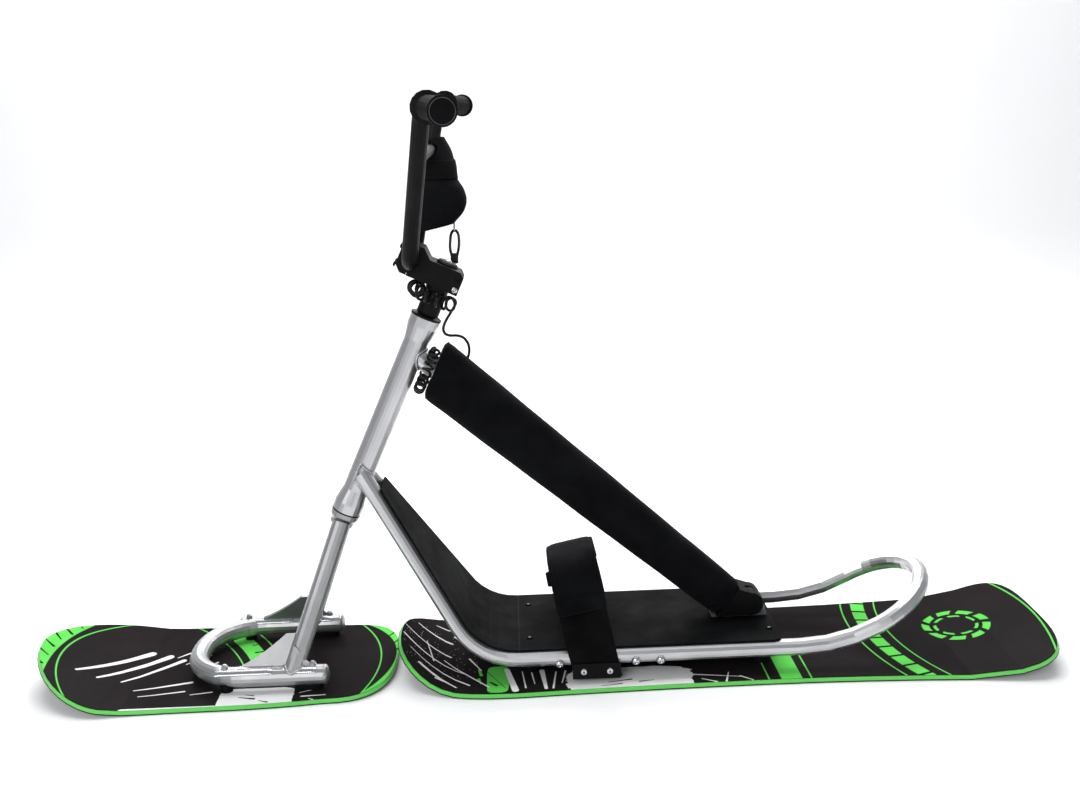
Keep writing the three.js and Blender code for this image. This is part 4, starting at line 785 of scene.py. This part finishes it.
def addSleeve(v):
    # superellipse section that shrinks along the strut, drawn in at both hems and along the seam underneath
    end = (shoeCentre - strutTop) @ strutWay - v["beforeShoe"]
    length = end - v["start"]
    share = np.linspace(0, 1, v["rows"])[:, None]
    angle = circle(v["columns"])[None]
    cosine, sine = np.cos(angle), np.sin(angle)
    tall = v["topTall"] + (v["endTall"] - v["topTall"]) * share
    wide = v["topWide"] + (v["endWide"] - v["topWide"]) * share
    along = share * length
    fromEnd = np.minimum(along, length - along)
    # a rolled edge, then a stitched line a hem's width in
    roll = (1 - v["rollDepth"] * nearLine(fromEnd, v["rollWidth"])
            - v["stitchDepth"] * nearLine(fromEnd - v["hem"], v["stitchWidth"]))
    under = nearLine((angle - math.pi / 2) % (2 * math.pi) - math.pi, v["seamWidth"])
    # slow waves along the whole length and tighter ones that fade away from each end
    waves = (np.sin(along / 23 + 2.1 * np.cos(angle)) * np.sin(2 * angle + along / 61)
             + 0.7 * np.sin(along / 11.3 + 3 * angle) * np.exp(-along / 70)
             + 0.8 * np.sin(along / 9.1 - 2 * angle) * np.exp(-(length - along) / 55))
    crown = 1 + v["crown"] * np.sin(math.pi * share)
    swell = v["wrinkle"] * waves * np.minimum(1, fromEnd / 14) - v["seamDepth"] * under
    up = (tall * roll * crown + swell) * squarer(sine, v["roundness"])
    lead = v["start"] - strutSlope * up * (1 - share)
    outer = strutTop + (lead + share * (end - lead))[..., None] * strutWay + up[..., None] * strutUp
    outer[..., 1] = (wide * roll * crown + swell) * squarer(cosine, v["roundness"])
    # the underside is trimmed flat over the bracket
    outer[..., 2] = np.maximum(outer[..., 2], v["floor"])
    # end faces and the bore close the foam round the strut
    share = np.linspace(1, 0, v["boreRows"])[:, None]
    up = v["bore"] * sine
    lead = v["start"] + v["boreInset"] - strutSlope * up * (1 - share)
    inner = strutTop + (lead + share * (end - v["boreInset"] - lead))[..., None] * strutWay + up[..., None] * strutUp
    inner[..., 1] = v["bore"] * cosine
    piece = facesOut(gridMesh("strut_foam_sleeve", np.concatenate([outer, inner]), closeAlong=True))
    dress(piece, "neoprene", "black_fabric", "frame", "strut_sleeve")


addSleeve(sleeve)
print("strut sleeve made")


# The foot strap and its pad
strap = {
    "x": 81.0, "topX": 48.0, "footZ": 17.0, "topZ": 177.5, "footY": 118.3, "half": 37.0, "padHalf": 38.5,
    "thickness": 3.0, "padThickness": 7.0, "padFrom": 0.225, "padTo": 0.775, "lap": 0.05, "gap": 0.3,
    "crown": 1.8, "corner": 8.0, "foldAt": 0.272, "turnFrom": 0.06, "turnRun": 0.12,
    "tapeFrom": 0.335, "tapeTo": 0.393, "tapeHalf": 9.0, "tapeLow": 1.2, "tapeHigh": 4.6, "tapeInside": 3.5,
}
# the whole band leans forward as it rises
strapLean = (strap["topX"] - strap["x"]) / (strap["topZ"] - strap["footZ"])
# half of the arch: shares of its half width and of its height
archShares = [(1, 0), (1, 0.14), (0.995, 0.36), (0.9, 0.55), (0.7, 0.78), (0.4, 0.96), (0, 1)]


def strapArch(shares):
    # the arch in the plane across the board, at the given shares of its length, with its outward ways
    tall = strap["topZ"] - strap["footZ"]
    half = np.array([(-strap["footY"] * a, strap["footZ"] + tall * u) for a, u in archShares])
    knots = np.vstack([half, (half[:-1] * [-1, 1])[::-1]])
    padded = np.vstack([knots[:1], knots, knots[-1:]])
    p0, p1, p2, p3 = (padded[i:len(padded) - 3 + i][:, None] for i in range(4))
    t = np.linspace(0, 1, 40, endpoint=False)[None, :, None]
    v0, v1 = (p2 - p0) / 2, (p3 - p1) / 2
    fine = (2 * p1 - 2 * p2 + v0 + v1) * t ** 3 + (-3 * p1 + 3 * p2 - 2 * v0 - v1) * t ** 2 + v0 * t + p1
    fine = np.vstack([fine.reshape(-1, 2), knots[-1:]])
    run = runAlong(fine)
    before, at, ahead = (readAt(np.asarray(shares) * run[-1] + step, run, fine) for step in (-1.0, 0.0, 1.0))
    flat = unit(ahead - before)
    x = strap["x"] + strapLean * (at[:, 1] - strap["footZ"])
    point = np.stack([x, at[:, 0], at[:, 1]], -1)
    way = unit(np.stack([strapLean * flat[:, 1], flat[:, 0], flat[:, 1]], -1))
    # the band turns square to its length above its foot
    turn = np.clip((np.minimum(shares, 1 - shares) - strap["turnFrom"]) / strap["turnRun"], 0, 1)
    side = unit(np.stack([np.ones(len(x)), np.zeros(len(x)), -strapLean * turn], -1))
    return point, side, unit(np.cross(side, way)), run[-1]


# depths of the stitched lines and folds are shares of the crown, and thinning is a share of the thickness
bandValues = {
    "squareness": 9, "thinning": 0.75, "thinWidth": 1.6, "crownFade": 12, "stitchDepth": 0.55, "stitchInset": 5,
    "stitchWidth": 1.3, "foldDepth": 0.9, "foldWidth": 1.6,
}


def roundedBand(shares, half, low, high, edge, columns=40, crown=0.0, corner=0.0, folds=(), shift=0.0):
    # a flat band with rounded edges along the arch; corner rounds the plan of its ends, shift moves it sideways
    v = bandValues
    point, side, normal, length = strapArch(shares)
    run = (shares - shares[0]) * length
    fromEnd = np.minimum(run, run[-1] - run)
    draw = np.zeros_like(run)
    if corner:
        inside = np.clip(corner - fromEnd, 0, corner)
        draw = corner - np.sqrt(np.maximum(corner ** 2 - inside ** 2, 0))
    angle = circle(columns)
    acrossShape, upShape = squarer(np.cos(angle), v["squareness"]), squarer(np.sin(angle), edge)
    upper = (upShape > 0)[None]
    across = (half - draw)[:, None] * acrossShape[None]
    thin = 1 - v["thinning"] * nearLine(fromEnd, v["thinWidth"])
    rise = (low + high) / 2 + (high - low) / 2 * upShape[None] * thin[:, None]
    grow = np.minimum(1, fromEnd / v["crownFade"])[:, None]
    rise = rise + crown * upper * (1 - np.abs(acrossShape[None]) ** 4) * grow
    # stitched lines inside both edges, and a crease at each fold
    stitches = nearLine(np.abs(across) - (half - v["stitchInset"]), v["stitchWidth"])
    rise = rise - v["stitchDepth"] * crown * upper * stitches
    for fold in folds:
        crease = nearLine(run - (fold - shares[0]) * length, v["foldWidth"])[:, None]
        rise = rise - v["foldDepth"] * crown * upper * crease
    return point[:, None] + (across + shift)[..., None] * side[:, None] + rise[..., None] * normal[:, None]


def addFootStrap(v):
    for name, start, end in (("left", 0.0, v["padFrom"] + v["lap"]), ("right", v["padTo"] - v["lap"], 1.0)):
        shares = np.linspace(start, end, 70)
        grid = roundedBand(shares, v["half"], -v["thickness"], 0.0, 2.2)
        piece = facesOut(gridMesh(f"strap_webbing_{name}", grid))
        dress(piece, "webbing", "black_fabric", "frame", f"foot_strap_{name}")
    shares = np.linspace(v["padFrom"], v["padTo"], 150)
    grid = roundedBand(shares, v["padHalf"], v["gap"], v["gap"] + v["padThickness"], 2.6, 96, v["crown"], v["corner"],
                       (v["foldAt"], 1 - v["foldAt"]))
    pad = facesOut(gridMesh("strap_pad", grid))
    dress(pad, "paddedCloth", "black_fabric", "frame", "foot_strap_pad")
    # the end of the closing tape stands out in front of the pad
    shares = np.linspace(v["tapeFrom"], v["tapeTo"], 16)
    grid = roundedBand(shares, v["tapeHalf"], v["tapeLow"], v["tapeHigh"], 2.4, 24, corner=2.5,
                       shift=v["tapeInside"] - v["padHalf"])
    dress(facesOut(gridMesh("strap_tape_end", grid)), "webbing", "black_fabric", "frame")


addFootStrap(strap)
print("foot strap made")


# The wrist cuff of the leash, round the right upright
bars = {
    "centre": (-177.5, 0.0, 653.9), "lean": math.radians(10.3), "lowerHalf": 52.0, "upperHalf": 205.0, "rise": 228.0,
    "crossbarRise": 157.0, "crossbarRadius": 8.6, "radius": 12.1, "end": 360.0,
    "sweep": math.radians(12), "droop": math.radians(1.9),
}
cuff = {
    "front": 14.0, "wall": 4.5, "lining": 0.25, "roundness": 2.4, "slotHalf": 8.9, "slit": 1.0, "slotTall": 9.5,
    "hemDrop": 13.0, "hemFade": 16.0, "hemRound": 1.8, "bulge": 1.2, "ripple": 0.5, "rows": 90, "columns": 100,
    "wrapFrom": 111.0, "wrapTo": 141.0, "wrapThick": 1.3, "wrapStand": 8.0, "wrapLift": 0.6, "wrapSunk": 0.4,
    "wrapHem": 1.4, "bellyFrom": 108.0, "bellyRun": 34.0, "wrapRows": 28, "wrapColumns": 110,
}
# height up the handlebar, inner reach behind the upright, inner half width
cuffProfile = np.array([
    (46, 52, 20), (62, 62, 21), (78, 64, 21), (94, 57, 20),
    (112, 43, 18), (132, 37, 17), (154, 28, 16.8), (174, 15, 16.4),
], float)


def barPoint(side, rise):
    # a place in the handlebar's own leaning plane, sideways and up from the middle of its foot
    side, rise = np.broadcast_arrays(np.asarray(side, float), np.asarray(rise, float))
    x, _, z = bars["centre"]
    return np.stack([x + rise * math.sin(bars["lean"]), side, z + rise * math.cos(bars["lean"])], -1)


def uprightSide(rise):
    # how far the upright stands to the side at a height
    return bars["lowerHalf"] + (bars["upperHalf"] - bars["lowerHalf"]) * rise / bars["rise"]


cuffLine = smoothLine(cuffProfile, 0.5)


def cuffGrid(rise, around, grow):
    # the smoothed profile read at each height, and a superellipse about the upright at each
    reach, half = (np.interp(rise, cuffLine[:, 0], cuffLine[:, k])[:, None] for k in (1, 2))
    shapeX, shapeY = (squarer(f, cuff["roundness"]) for f in (np.cos(around), np.sin(around)))
    x = (reach - cuff["front"]) / 2 + ((reach + cuff["front"]) / 2 + grow) * shapeX
    y = (half + grow) * shapeY
    # the front of the lowest hem hangs along the upright
    fade = np.clip((cuffProfile[0, 0] + cuff["hemFade"] - rise) / cuff["hemFade"], 0, 1)[:, None]
    at = rise[:, None] - cuff["hemDrop"] * fade * (reach - x) / (reach + cuff["front"])
    return barPoint(uprightSide(at), at) + np.stack([x, y, np.zeros_like(x)], -1)


def rolledHem(start, end, out):
    # rows from one edge line to the other, on a half round
    share = np.linspace(0, 1, 7)[1:-1, None, None]
    return start * (1 - share) + end * share + out * np.sin(math.pi * share) * np.array([0, 0, 1.0])


def addCuff(v):
    # the wall is open above the crossbar: outer skin, rolled rim and inner skin, from one edge of the slit to the other
    lowest, highest = cuffProfile[0, 0], cuffProfile[-1, 0]
    rise = np.linspace(lowest, highest, v["rows"])
    smooth = np.convolve(np.pad(rise, 2, mode="edge"), np.ones(5) / 5, "valid")
    reach, half = (np.interp(rise, cuffProfile[:, 0], cuffProfile[:, k]) for k in (1, 2))
    # the slit faces the middle of the bar, in line with the upright's axis
    centreAngle = -np.arccos(np.clip((v["front"] - reach) / (reach + v["front"]), -0.95, 0.95))
    close = np.exp(-((rise - bars["crossbarRise"]) / v["slotTall"]) ** 4)
    halfGap = ((v["slit"] + (v["slotHalf"] + 0.6 - v["slit"]) * close) / (half + v["wall"]))[:, None]
    around = centreAngle[:, None] + halfGap + (2 * math.pi - 2 * halfGap) * np.linspace(0, 1, v["columns"])[None]

    def bulgeAt(height):
        return v["bulge"] * np.sin(math.pi * (height - lowest) / (highest - lowest))[:, None]

    ripple = v["ripple"] * np.sin(smooth[:, None] / 7.5 + 2 * around) * np.sin(around + 0.6)
    outer = cuffGrid(rise, around, v["wall"] + bulgeAt(rise) + ripple)
    inner = cuffGrid(rise, around, v["lining"])
    # a ring of rows: up the outside, over the top hem, down the inside, round the bottom hem
    top = rolledHem(outer[-1], inner[-1], v["hemRound"])
    bottom = rolledHem(inner[0], outer[0], -v["hemRound"])
    loop = np.concatenate([outer, top, inner[::-1], bottom])
    piece = gridMesh("wrist_cuff", loop, closeAcross=False, closeAlong=True)
    # the two edges of the slit are closed with strips between outer and inner rows
    mesh = piece.data
    form = bmesh.new()
    form.from_mesh(mesh)
    form.verts.ensure_lookup_table()
    for column in (0, v["columns"] - 1):
        edge = [form.verts[row * v["columns"] + column] for row in range(len(loop))]
        a, b = edge[:len(outer)], edge[len(outer) + len(top):-len(bottom)][::-1]
        for r in range(len(outer) - 1):
            form.faces.new((a[r], a[r + 1], b[r + 1], b[r]))
        form.faces.new(edge[len(outer) - 1:len(outer) + len(top) + 1])
        form.faces.new(edge[-len(bottom) - 1:] + edge[:1])
    bmesh.ops.recalc_face_normals(form, faces=form.faces)
    form.to_mesh(mesh)
    form.free()
    mesh.polygons.foreach_set("use_smooth", np.ones(len(mesh.polygons), bool))
    facesOut(piece)
    dress(piece, "neoprene", "black_fabric", "steering", "leash_cuff")
    # the closing wrap goes all round below the crossbar and stands out further at its front
    heights = np.linspace(v["wrapFrom"], v["wrapTo"], v["wrapRows"])
    around = np.interp(heights, rise, centreAngle)[:, None] + circle(v["wrapColumns"])
    front = np.clip(-np.cos(around), 0, 1) ** 2
    belly = np.sin(math.pi * np.clip((heights - v["bellyFrom"]) / v["bellyRun"], 0, 1))[:, None] ** 0.7
    edge = np.minimum(1, np.minimum(heights - heights[0], heights[-1] - heights) / v["wrapHem"])[:, None]
    skin = v["wall"] + bulgeAt(heights)
    stand = v["wrapStand"] * front * belly * edge
    outerWrap = cuffGrid(heights, around, skin + v["wrapLift"] + v["wrapThick"] * edge + stand)
    innerWrap = cuffGrid(heights, around, skin - v["wrapSunk"])
    wrap = gridMesh("cuff_wrap", np.concatenate([outerWrap, innerWrap[::-1]]), closeAlong=True)
    dress(facesOut(wrap), "webbing", "black_fabric", "steering")


addCuff(cuff)
print("cuff made")


def turnedPiece(name, profile, origin, way, sides, hexRows=()):
    # a profile of (radius, height) turned about a line from origin along way; the hexRows follow a hexagon
    way = unit(np.asarray(way, float))
    side = unit(np.cross(way, [0.0, 0.0, 1.0] if abs(way[2]) < 0.9 else [1.0, 0.0, 0.0]))
    profile = np.asarray(profile, float)
    angle = circle(sides)
    radius = np.repeat(profile[:, :1], sides, 1)
    rows = list(hexRows)
    radius[rows] = radius[rows] * math.cos(math.pi / 6) / np.cos((angle % (math.pi / 3)) - math.pi / 6)
    ring = aboutLine(angle[None], side, np.cross(way, side))
    grid = np.asarray(origin, float) + radius[..., None] * ring + profile[:, 1][:, None, None] * way
    return facesOut(gridMesh(name, grid))


def socketDome(radius, height, socket):
    # button head with a hexagon socket in it
    return [(radius, 0), (radius, height * 0.18), (radius * 0.93, height * 0.5), (radius * 0.76, height * 0.82),
            (radius * 0.56, height), (socket * 1.12, height), (socket, height * 0.97), (socket, height * 0.4),
            (socket * 0.3, height * 0.33), (0.02, height * 0.33)]


def fastener(name, radius, height, socket, origin, way, body, finish="boltSteel", slot="bright_steel"):
    piece = turnedPiece(name, socketDome(radius, height, socket), origin, way, 36, (6, 7))
    return dress(piece, finish, slot, body)


hands = ((-1, "left"), (1, "right"))
rails = {"radius": 13.0, "half": 102.0, "z": 46.0, "kneeX": -101.0}
railBolts = {"places": (22.0, 139.5, 177.7), "radius": 7.4, "height": 7.0, "socket": 2.4, "drop": math.radians(27),
             "sunk": 1.6}


def addRailBolts(v):
    # domed screws that stand square on the rails, a little under their middle
    for side, hand in hands:
        way = np.array([0, side * math.cos(v["drop"]), -math.sin(v["drop"])])
        for count, x in enumerate(v["places"]):
            origin = np.array([x, side * rails["half"], rails["z"]]) + way * (rails["radius"] - v["sunk"])
            fastener(f"rail_screw_{count + 1}_{hand}", v["radius"], v["height"], v["socket"], origin, way, "frame")


addRailBolts(railBolts)

stemBolts = {
    "radius": 4.6, "height": 3.6, "socket": 2.1, "sunk": 0.4, "halfWidth": 24.0, "clampBehind": 23.5,
    "clamps": ((391.5, "boltSteel"), (408.0, "blackCoat")), "clampMore": (0.6, 0.4),
    "front": 72.0, "plate": ((393.0, -16.0), (393.0, 16.0), (422.0, -16.0), (422.0, 16.0)),
    "top": 424.0, "topSize": (5.0, 3.2, 2.4),
}


def addStemBolts(v):
    # two clamp screws on the near side, four in the face plate and one in the top cap
    side = np.array([0.0, -1.0, 0.0])
    wider, deeper = v["clampMore"]
    for count, (along, finish) in enumerate(v["clamps"]):
        origin = axisPoint(along, v["clampBehind"], v["sunk"] - v["halfWidth"])
        fastener(f"stem_clamp_screw_{count + 1}", v["radius"] + wider, v["height"], v["socket"] + deeper,
                 origin, side, "steering", finish)
    front = axisPoint(0, -1) - axisPoint(0, 0)
    for count, (along, across) in enumerate(v["plate"]):
        fastener(f"face_plate_screw_{count + 1}", v["radius"], v["height"], v["socket"],
                 axisPoint(along, v["sunk"] - v["front"], across), front, "steering", "blackCoat", "black_metal")
    fastener("top_cap_screw", *v["topSize"], axisPoint(v["top"]), axisPoint(1) - axisPoint(0), "steering")


addStemBolts(stemBolts)

# each pair is the radius of a tube and that of the one it is welded to, a little proud of both
welds = {
    "bead": 2.3, "pitch": 3.4, "ripple": 0.20, "sides": 10, "step": 0.8,
    "railAlong": 68.0, "railOut": 13.5, "railRadii": (13.2, 19.4),
    "legAlong": -16.7, "legOut": 15.2, "legFootX": -391.0, "legRadii": (14.9, 15.3),
    "gussetX": (-472.0, -404.0), "gussetOut": 4.2, "gussetRise": 14.6, "gussetBead": 2.0,
    "crossbarBead": 1.5, "strutFrom": 300.0, "strutRadii": (16.2, 19.4),
}
foot = {
    "half": 96.0, "z": 31.0, "radius": 15.2, "rearX": -340.0, "capDepth": 7.0,
    "runs": ((-508.0, -418.0), (-392.0, -352.0)), "runTurn": math.radians(58), "runRipple": 0.28, "runPitch": 2.6,
    "runStep": 0.45, "runThick": 0.9, "runSunk": 0.8, "runLift": 0.15, "runFade": 7.0, "capSunk": 1.5, "finHalf": 2.2,
    "fin": ((-398.0, 40.0), (-354.0, 44.0), (-359.0, 47.0), (-372.0, 58.0), (-378.0, 75.0), (-384.0, 81.0)),
}


def tubeMeeting(origin, way, radius, hostOrigin, hostWay, hostRadius):
    # where the straight lines of one round tube first meet the outside of another
    way, hostWay = unit(np.asarray(way, float)), unit(np.asarray(hostWay, float))
    side = unit(np.cross(way, [0.0, 1.0, 0.1]))
    start = np.asarray(origin, float) + radius * aboutLine(circle(220), side, np.cross(way, side))
    offset = start - np.asarray(hostOrigin, float)
    flatWay = way - hostWay * np.dot(way, hostWay)
    flatOffset = offset - (offset @ hostWay)[:, None] * hostWay
    a = flatWay @ flatWay
    b = flatOffset @ flatWay
    c = (flatOffset ** 2).sum(1) - hostRadius ** 2
    root = np.sqrt(np.maximum(b ** 2 - a * c, 0))
    return start + ((-b - root) / a)[:, None] * way


def weldBead(name, line, body, closed=True, radius=welds["bead"]):
    # a round bead whose thickness rises and falls along it like stacked coins
    v = welds
    line = evenSteps(np.vstack([line, line[:1]]), v["step"])[:-1] if closed else evenSteps(line, v["step"])
    coins = np.abs(np.sin(math.pi * np.arange(len(line)) * v["step"] / v["pitch"]))
    piece = sweptTube(name, line, radius * (1 - v["ripple"] + 2 * v["ripple"] * coins), v["sides"], closed)
    return dress(piece, "weldMetal", "satin_aluminium", body)


def addWelds(v):
    base, axis = axisPoint(0), axisPoint(1) - axisPoint(0)
    for side, hand in hands:
        # rails come from the knee up to the head tube
        knee = np.array([rails["kneeX"], side * rails["half"], rails["z"]])
        way = axisPoint(v["railAlong"], 0, side * v["railOut"]) - knee
        tube, host = v["railRadii"]
        weldBead(f"rail_weld_{hand}", tubeMeeting(knee, way, tube, base, axis, host), "frame")
        top = axisPoint(v["legAlong"], 0, side * v["legOut"])
        low = np.array([v["legFootX"], side * foot["half"], foot["z"]])
        tube, host = v["legRadii"]
        weldBead(f"leg_weld_{hand}", tubeMeeting(top, low - top, tube, low, [1.0, 0, 0], host), "steering")
        # wide beads along both faces of the gusset, on the foot tube
        x = np.linspace(*v["gussetX"], 60)
        for face in (-1, 1):
            y, z = side * foot["half"] + face * v["gussetOut"], foot["z"] + v["gussetRise"]
            faceName = "outer" if face * side > 0 else "inner"
            line = np.stack([x, np.full_like(x, y), np.full_like(x, z)], -1)
            weldBead(f"gusset_weld_{faceName}_{hand}", line, "steering", False, v["gussetBead"])
        # crossbar on the upright
        rise = bars["crossbarRise"]
        middle, end = barPoint(0, rise), barPoint(side * uprightSide(rise), rise)
        low, high = (barPoint(side * uprightSide(height), height) for height in (0, bars["rise"]))
        line = tubeMeeting(middle, end - middle, bars["crossbarRadius"], low, high - low, bars["radius"])
        bead = weldBead(f"crossbar_weld_{hand}", line, "steering", True, v["crossbarBead"])
        bead.data.materials[0] = finishes["blackCoat"]
    tube, host = v["strutRadii"]
    line = tubeMeeting(strutTop + v["strutFrom"] * strutWay, -strutWay, tube, base, axis, host)
    weldBead("strut_weld", line, "frame")


addWelds(welds)


def addFootDetails(v):
    for side, hand in hands:
        y = side * v["half"]
        # a shallow dome closes each arm
        bend = np.linspace(0, math.pi / 2, 10)
        profile = np.stack([np.maximum(v["radius"] * np.cos(bend), 0.02), v["capDepth"] * np.sin(bend)], -1)
        profile = np.vstack([[v["radius"], -v["capSunk"]], profile])
        cap = turnedPiece(f"foot_cap_{hand}", profile, (v["rearX"], y, v["z"]), (1, 0, 0), 40)
        dress(cap, "castAluminium", "satin_aluminium", "steering")
        # wide rippled runs of weld metal lie over the top of the arm
        for count, (low, high) in enumerate(v["runs"]):
            x = np.arange(low, high, v["runStep"])[:, None]
            angle = np.linspace(-v["runTurn"], v["runTurn"], 26)[None]
            fade = np.minimum(1, np.minimum(x - low, high - x) / v["runFade"])
            across = angle / v["runTurn"]
            coins = v["runRipple"] * np.abs(np.sin(math.pi * (x / v["runPitch"] + 1.1 * across ** 2)))
            rim = np.sqrt(np.clip(1 - across ** 4, 0, 1))
            outer = v["radius"] + v["runLift"] + fade * rim * (v["runThick"] + coins)
            reach = np.concatenate([outer, np.full_like(outer, v["radius"] - v["runSunk"])], 1)
            turn = np.concatenate([angle, angle[:, ::-1]], 1)
            sides = (np.broadcast_to(x, reach.shape), y + reach * np.sin(turn), v["z"] + reach * np.cos(turn))
            run = facesOut(gridMesh(f"arm_weld_run_{count + 1}_{hand}", np.stack(sides, -1)))
            dress(run, "weldMetal", "satin_aluminium", "steering")
        # a small fin ties the back of the leg to the arm
        faces = [np.insert(np.array(v["fin"]), 1, y + face * v["finHalf"], axis=1) for face in (-1, 1)]
        fin = flatFaces(facesOut(gridMesh(f"leg_fin_{hand}", np.array(faces))))
        dress(fin, "castAluminium", "satin_aluminium", "steering")


addFootDetails(foot)


marks = {
    "deckX": {"front": -22.0, "rear": 354.5}, "deckHalf": 65.0, "deckTop": 63.9, "deckRadius": 2.4,
    "strapShift": {"front": -20.0, "rear": 20.0}, "strapZ": 28.5, "strapOut": 6.5, "strapRadius": 1.7,
}


def socketShadeMark(name, radius, origin, way):
    # painted shade for the mouth of a key socket: a dark hexagon a hair above the head
    profile = [(radius, -0.4), (radius, 0.16), (radius * 0.9, 0.22), (0.02, 0.22)]
    mark = flatFaces(turnedPiece(name, profile, origin, way, 6))
    dress(mark, "dullSteelAndSocketShade", "black_metal", "frame")


def addSocketShadeMarks(v):
    # painted shade marks in the sockets of the deck screws and the strap bolts
    x = strap["x"] + strapLean * (v["strapZ"] - strap["footZ"])
    for side, hand in hands:
        for end in ("front", "rear"):
            place = (v["deckX"][end], side * v["deckHalf"], v["deckTop"])
            socketShadeMark(f"deck_screw_socket_{end}_{hand}", v["deckRadius"], place, (0, 0, 1))
            place = (x + v["strapShift"][end], side * (strap["footY"] + v["strapOut"]), v["strapZ"])
            socketShadeMark(f"strap_bolt_socket_{end}_{hand}", v["strapRadius"], place, (0, side, 0))


addSocketShadeMarks(marks)

seam = {"x": (-39.01, -37.99), "z": (59.4, 62.27), "half": 107.0}


def addGuardSlotShade(v):
    # painted shade: a dark strip fills the slot between the leg guard and the deck
    (x0, x1), (z0, z1) = v["x"], v["z"]
    corners = np.array([[(x0, y, z0), (x1, y, z0), (x1, y, z1), (x0, y, z1)] for y in (-v["half"], v["half"])])
    strip = flatFaces(facesOut(gridMesh("guard_slot_shade_strip", corners)))
    dress(strip, "blackRubberAndSlotShade", "black_rubber", "frame")


addGuardSlotShade(seam)
print("fasteners and welds made")

plugRing = {"radius": 15.6, "wire": 0.45, "thickness": 5.0, "sunk": 0.1}


def addPlugRings(v):
    # a thin bright line let into each bar end plug
    for side, hand in hands:
        corner = barPoint(side * bars["upperHalf"], bars["rise"])
        run = bars["end"] - bars["upperHalf"]
        reach = np.array([run * math.tan(bars["sweep"]), side * run, -run * math.tan(bars["droop"])])
        way = unit(reach)
        centre = corner + reach + way * (v["thickness"] - v["sunk"])
        one = unit(np.cross(way, [0.0, 0.0, 1.0]))
        line = centre + v["radius"] * aboutLine(circle(96), one, np.cross(way, one))
        ring = sweptTube(f"plug_ring_{hand}", line, v["wire"], 8, True)
        dress(ring, "dullSteelAndSocketShade", "bright_steel", "steering")


addPlugRings(plugRing)


# Floor, backdrop and light
studio = {
    "floor": (0.90, 0.90, 0.90, 1), "floorPale": (0.90, 0.90, 0.91, 1), "drop": 0.0004, "sweepStart": 2.6,
    "sweepRadius": 1.2, "height": 4.2, "half": 7.0, "front": -4.0,
    "world": (0.86, 0.88, 0.92, 1), "worldStrength": 0.42, "glow": 0.09,
}
lamps = [
    # name, place, aim, size x, size y, power
    ("overhead", (0.0, 0.4, 2.4), (0.0, -0.1, 0.1), 2.8, 1.0, 40),
    ("back_key", (0.1, 2.3, 1.9), (0.0, -0.2, 0.1), 3.0, 0.7, 60),
    ("near_fill", (-1.4, -3.0, 1.8), (0.0, 0.0, 0.3), 2.0, 1.2, 46),
    ("backdrop_wash", (0.0, 1.6, 2.9), (0.0, 3.4, 1.2), 4.0, 1.0, 62),
]


def addStudio(v):
    # floor, quarter round and wall as one swept sheet
    bend = np.linspace(0, math.pi / 2, 24)
    start, radius = v["sweepStart"], v["sweepRadius"]
    y = np.concatenate([[v["front"], 0, start], start + radius * np.sin(bend[1:]), [start + radius]])
    z = np.concatenate([[0, 0, 0], radius * (1 - np.cos(bend[1:])), [v["height"]]]) - v["drop"]
    x = np.linspace(-v["half"], v["half"], 12)
    grid = np.stack(np.broadcast_arrays(x[None], y[:, None], z[:, None]), -1)
    sheet = gridMesh("studio_sweep", grid, closeAcross=False, scale=1)
    material, tree, shader = startMaterial("studioPaper")
    tones = {"dark": v["floor"], "light": v["floorPale"]}
    tone = mottled(tree, noise(tree, place(tree), 1.3, 2), 0.3, 0.7, tones)
    put(tree, shader, Base_Color=tone, Roughness=0.85, Specular_IOR_Level=0.1, Emission_Color=v["floor"],
        Emission_Strength=v["glow"])
    sheet.data.materials.append(material)
    world = bpy.data.worlds.new("studio_world")
    bpy.context.scene.world = world
    world.use_nodes = True
    back = world.node_tree.nodes["Background"]
    back.inputs["Color"].default_value = v["world"]
    back.inputs["Strength"].default_value = v["worldStrength"]
    for name, spot, aim, wide, deep, power in lamps:
        data = bpy.data.lights.new(name, "AREA")
        data.shape = "RECTANGLE"
        data.size, data.size_y, data.energy = wide, deep, power
        lamp = bpy.data.objects.new(name, data)
        bpy.context.collection.objects.link(lamp)
        lamp.location = spot
        lamp.rotation_euler = (Vector(aim) - Vector(spot)).to_track_quat("-Z", "Y").to_euler()
    bpy.context.scene.view_settings.view_transform = "Standard"
    bpy.context.scene.view_settings.look = "None"


addStudio(studio)
print("studio made")
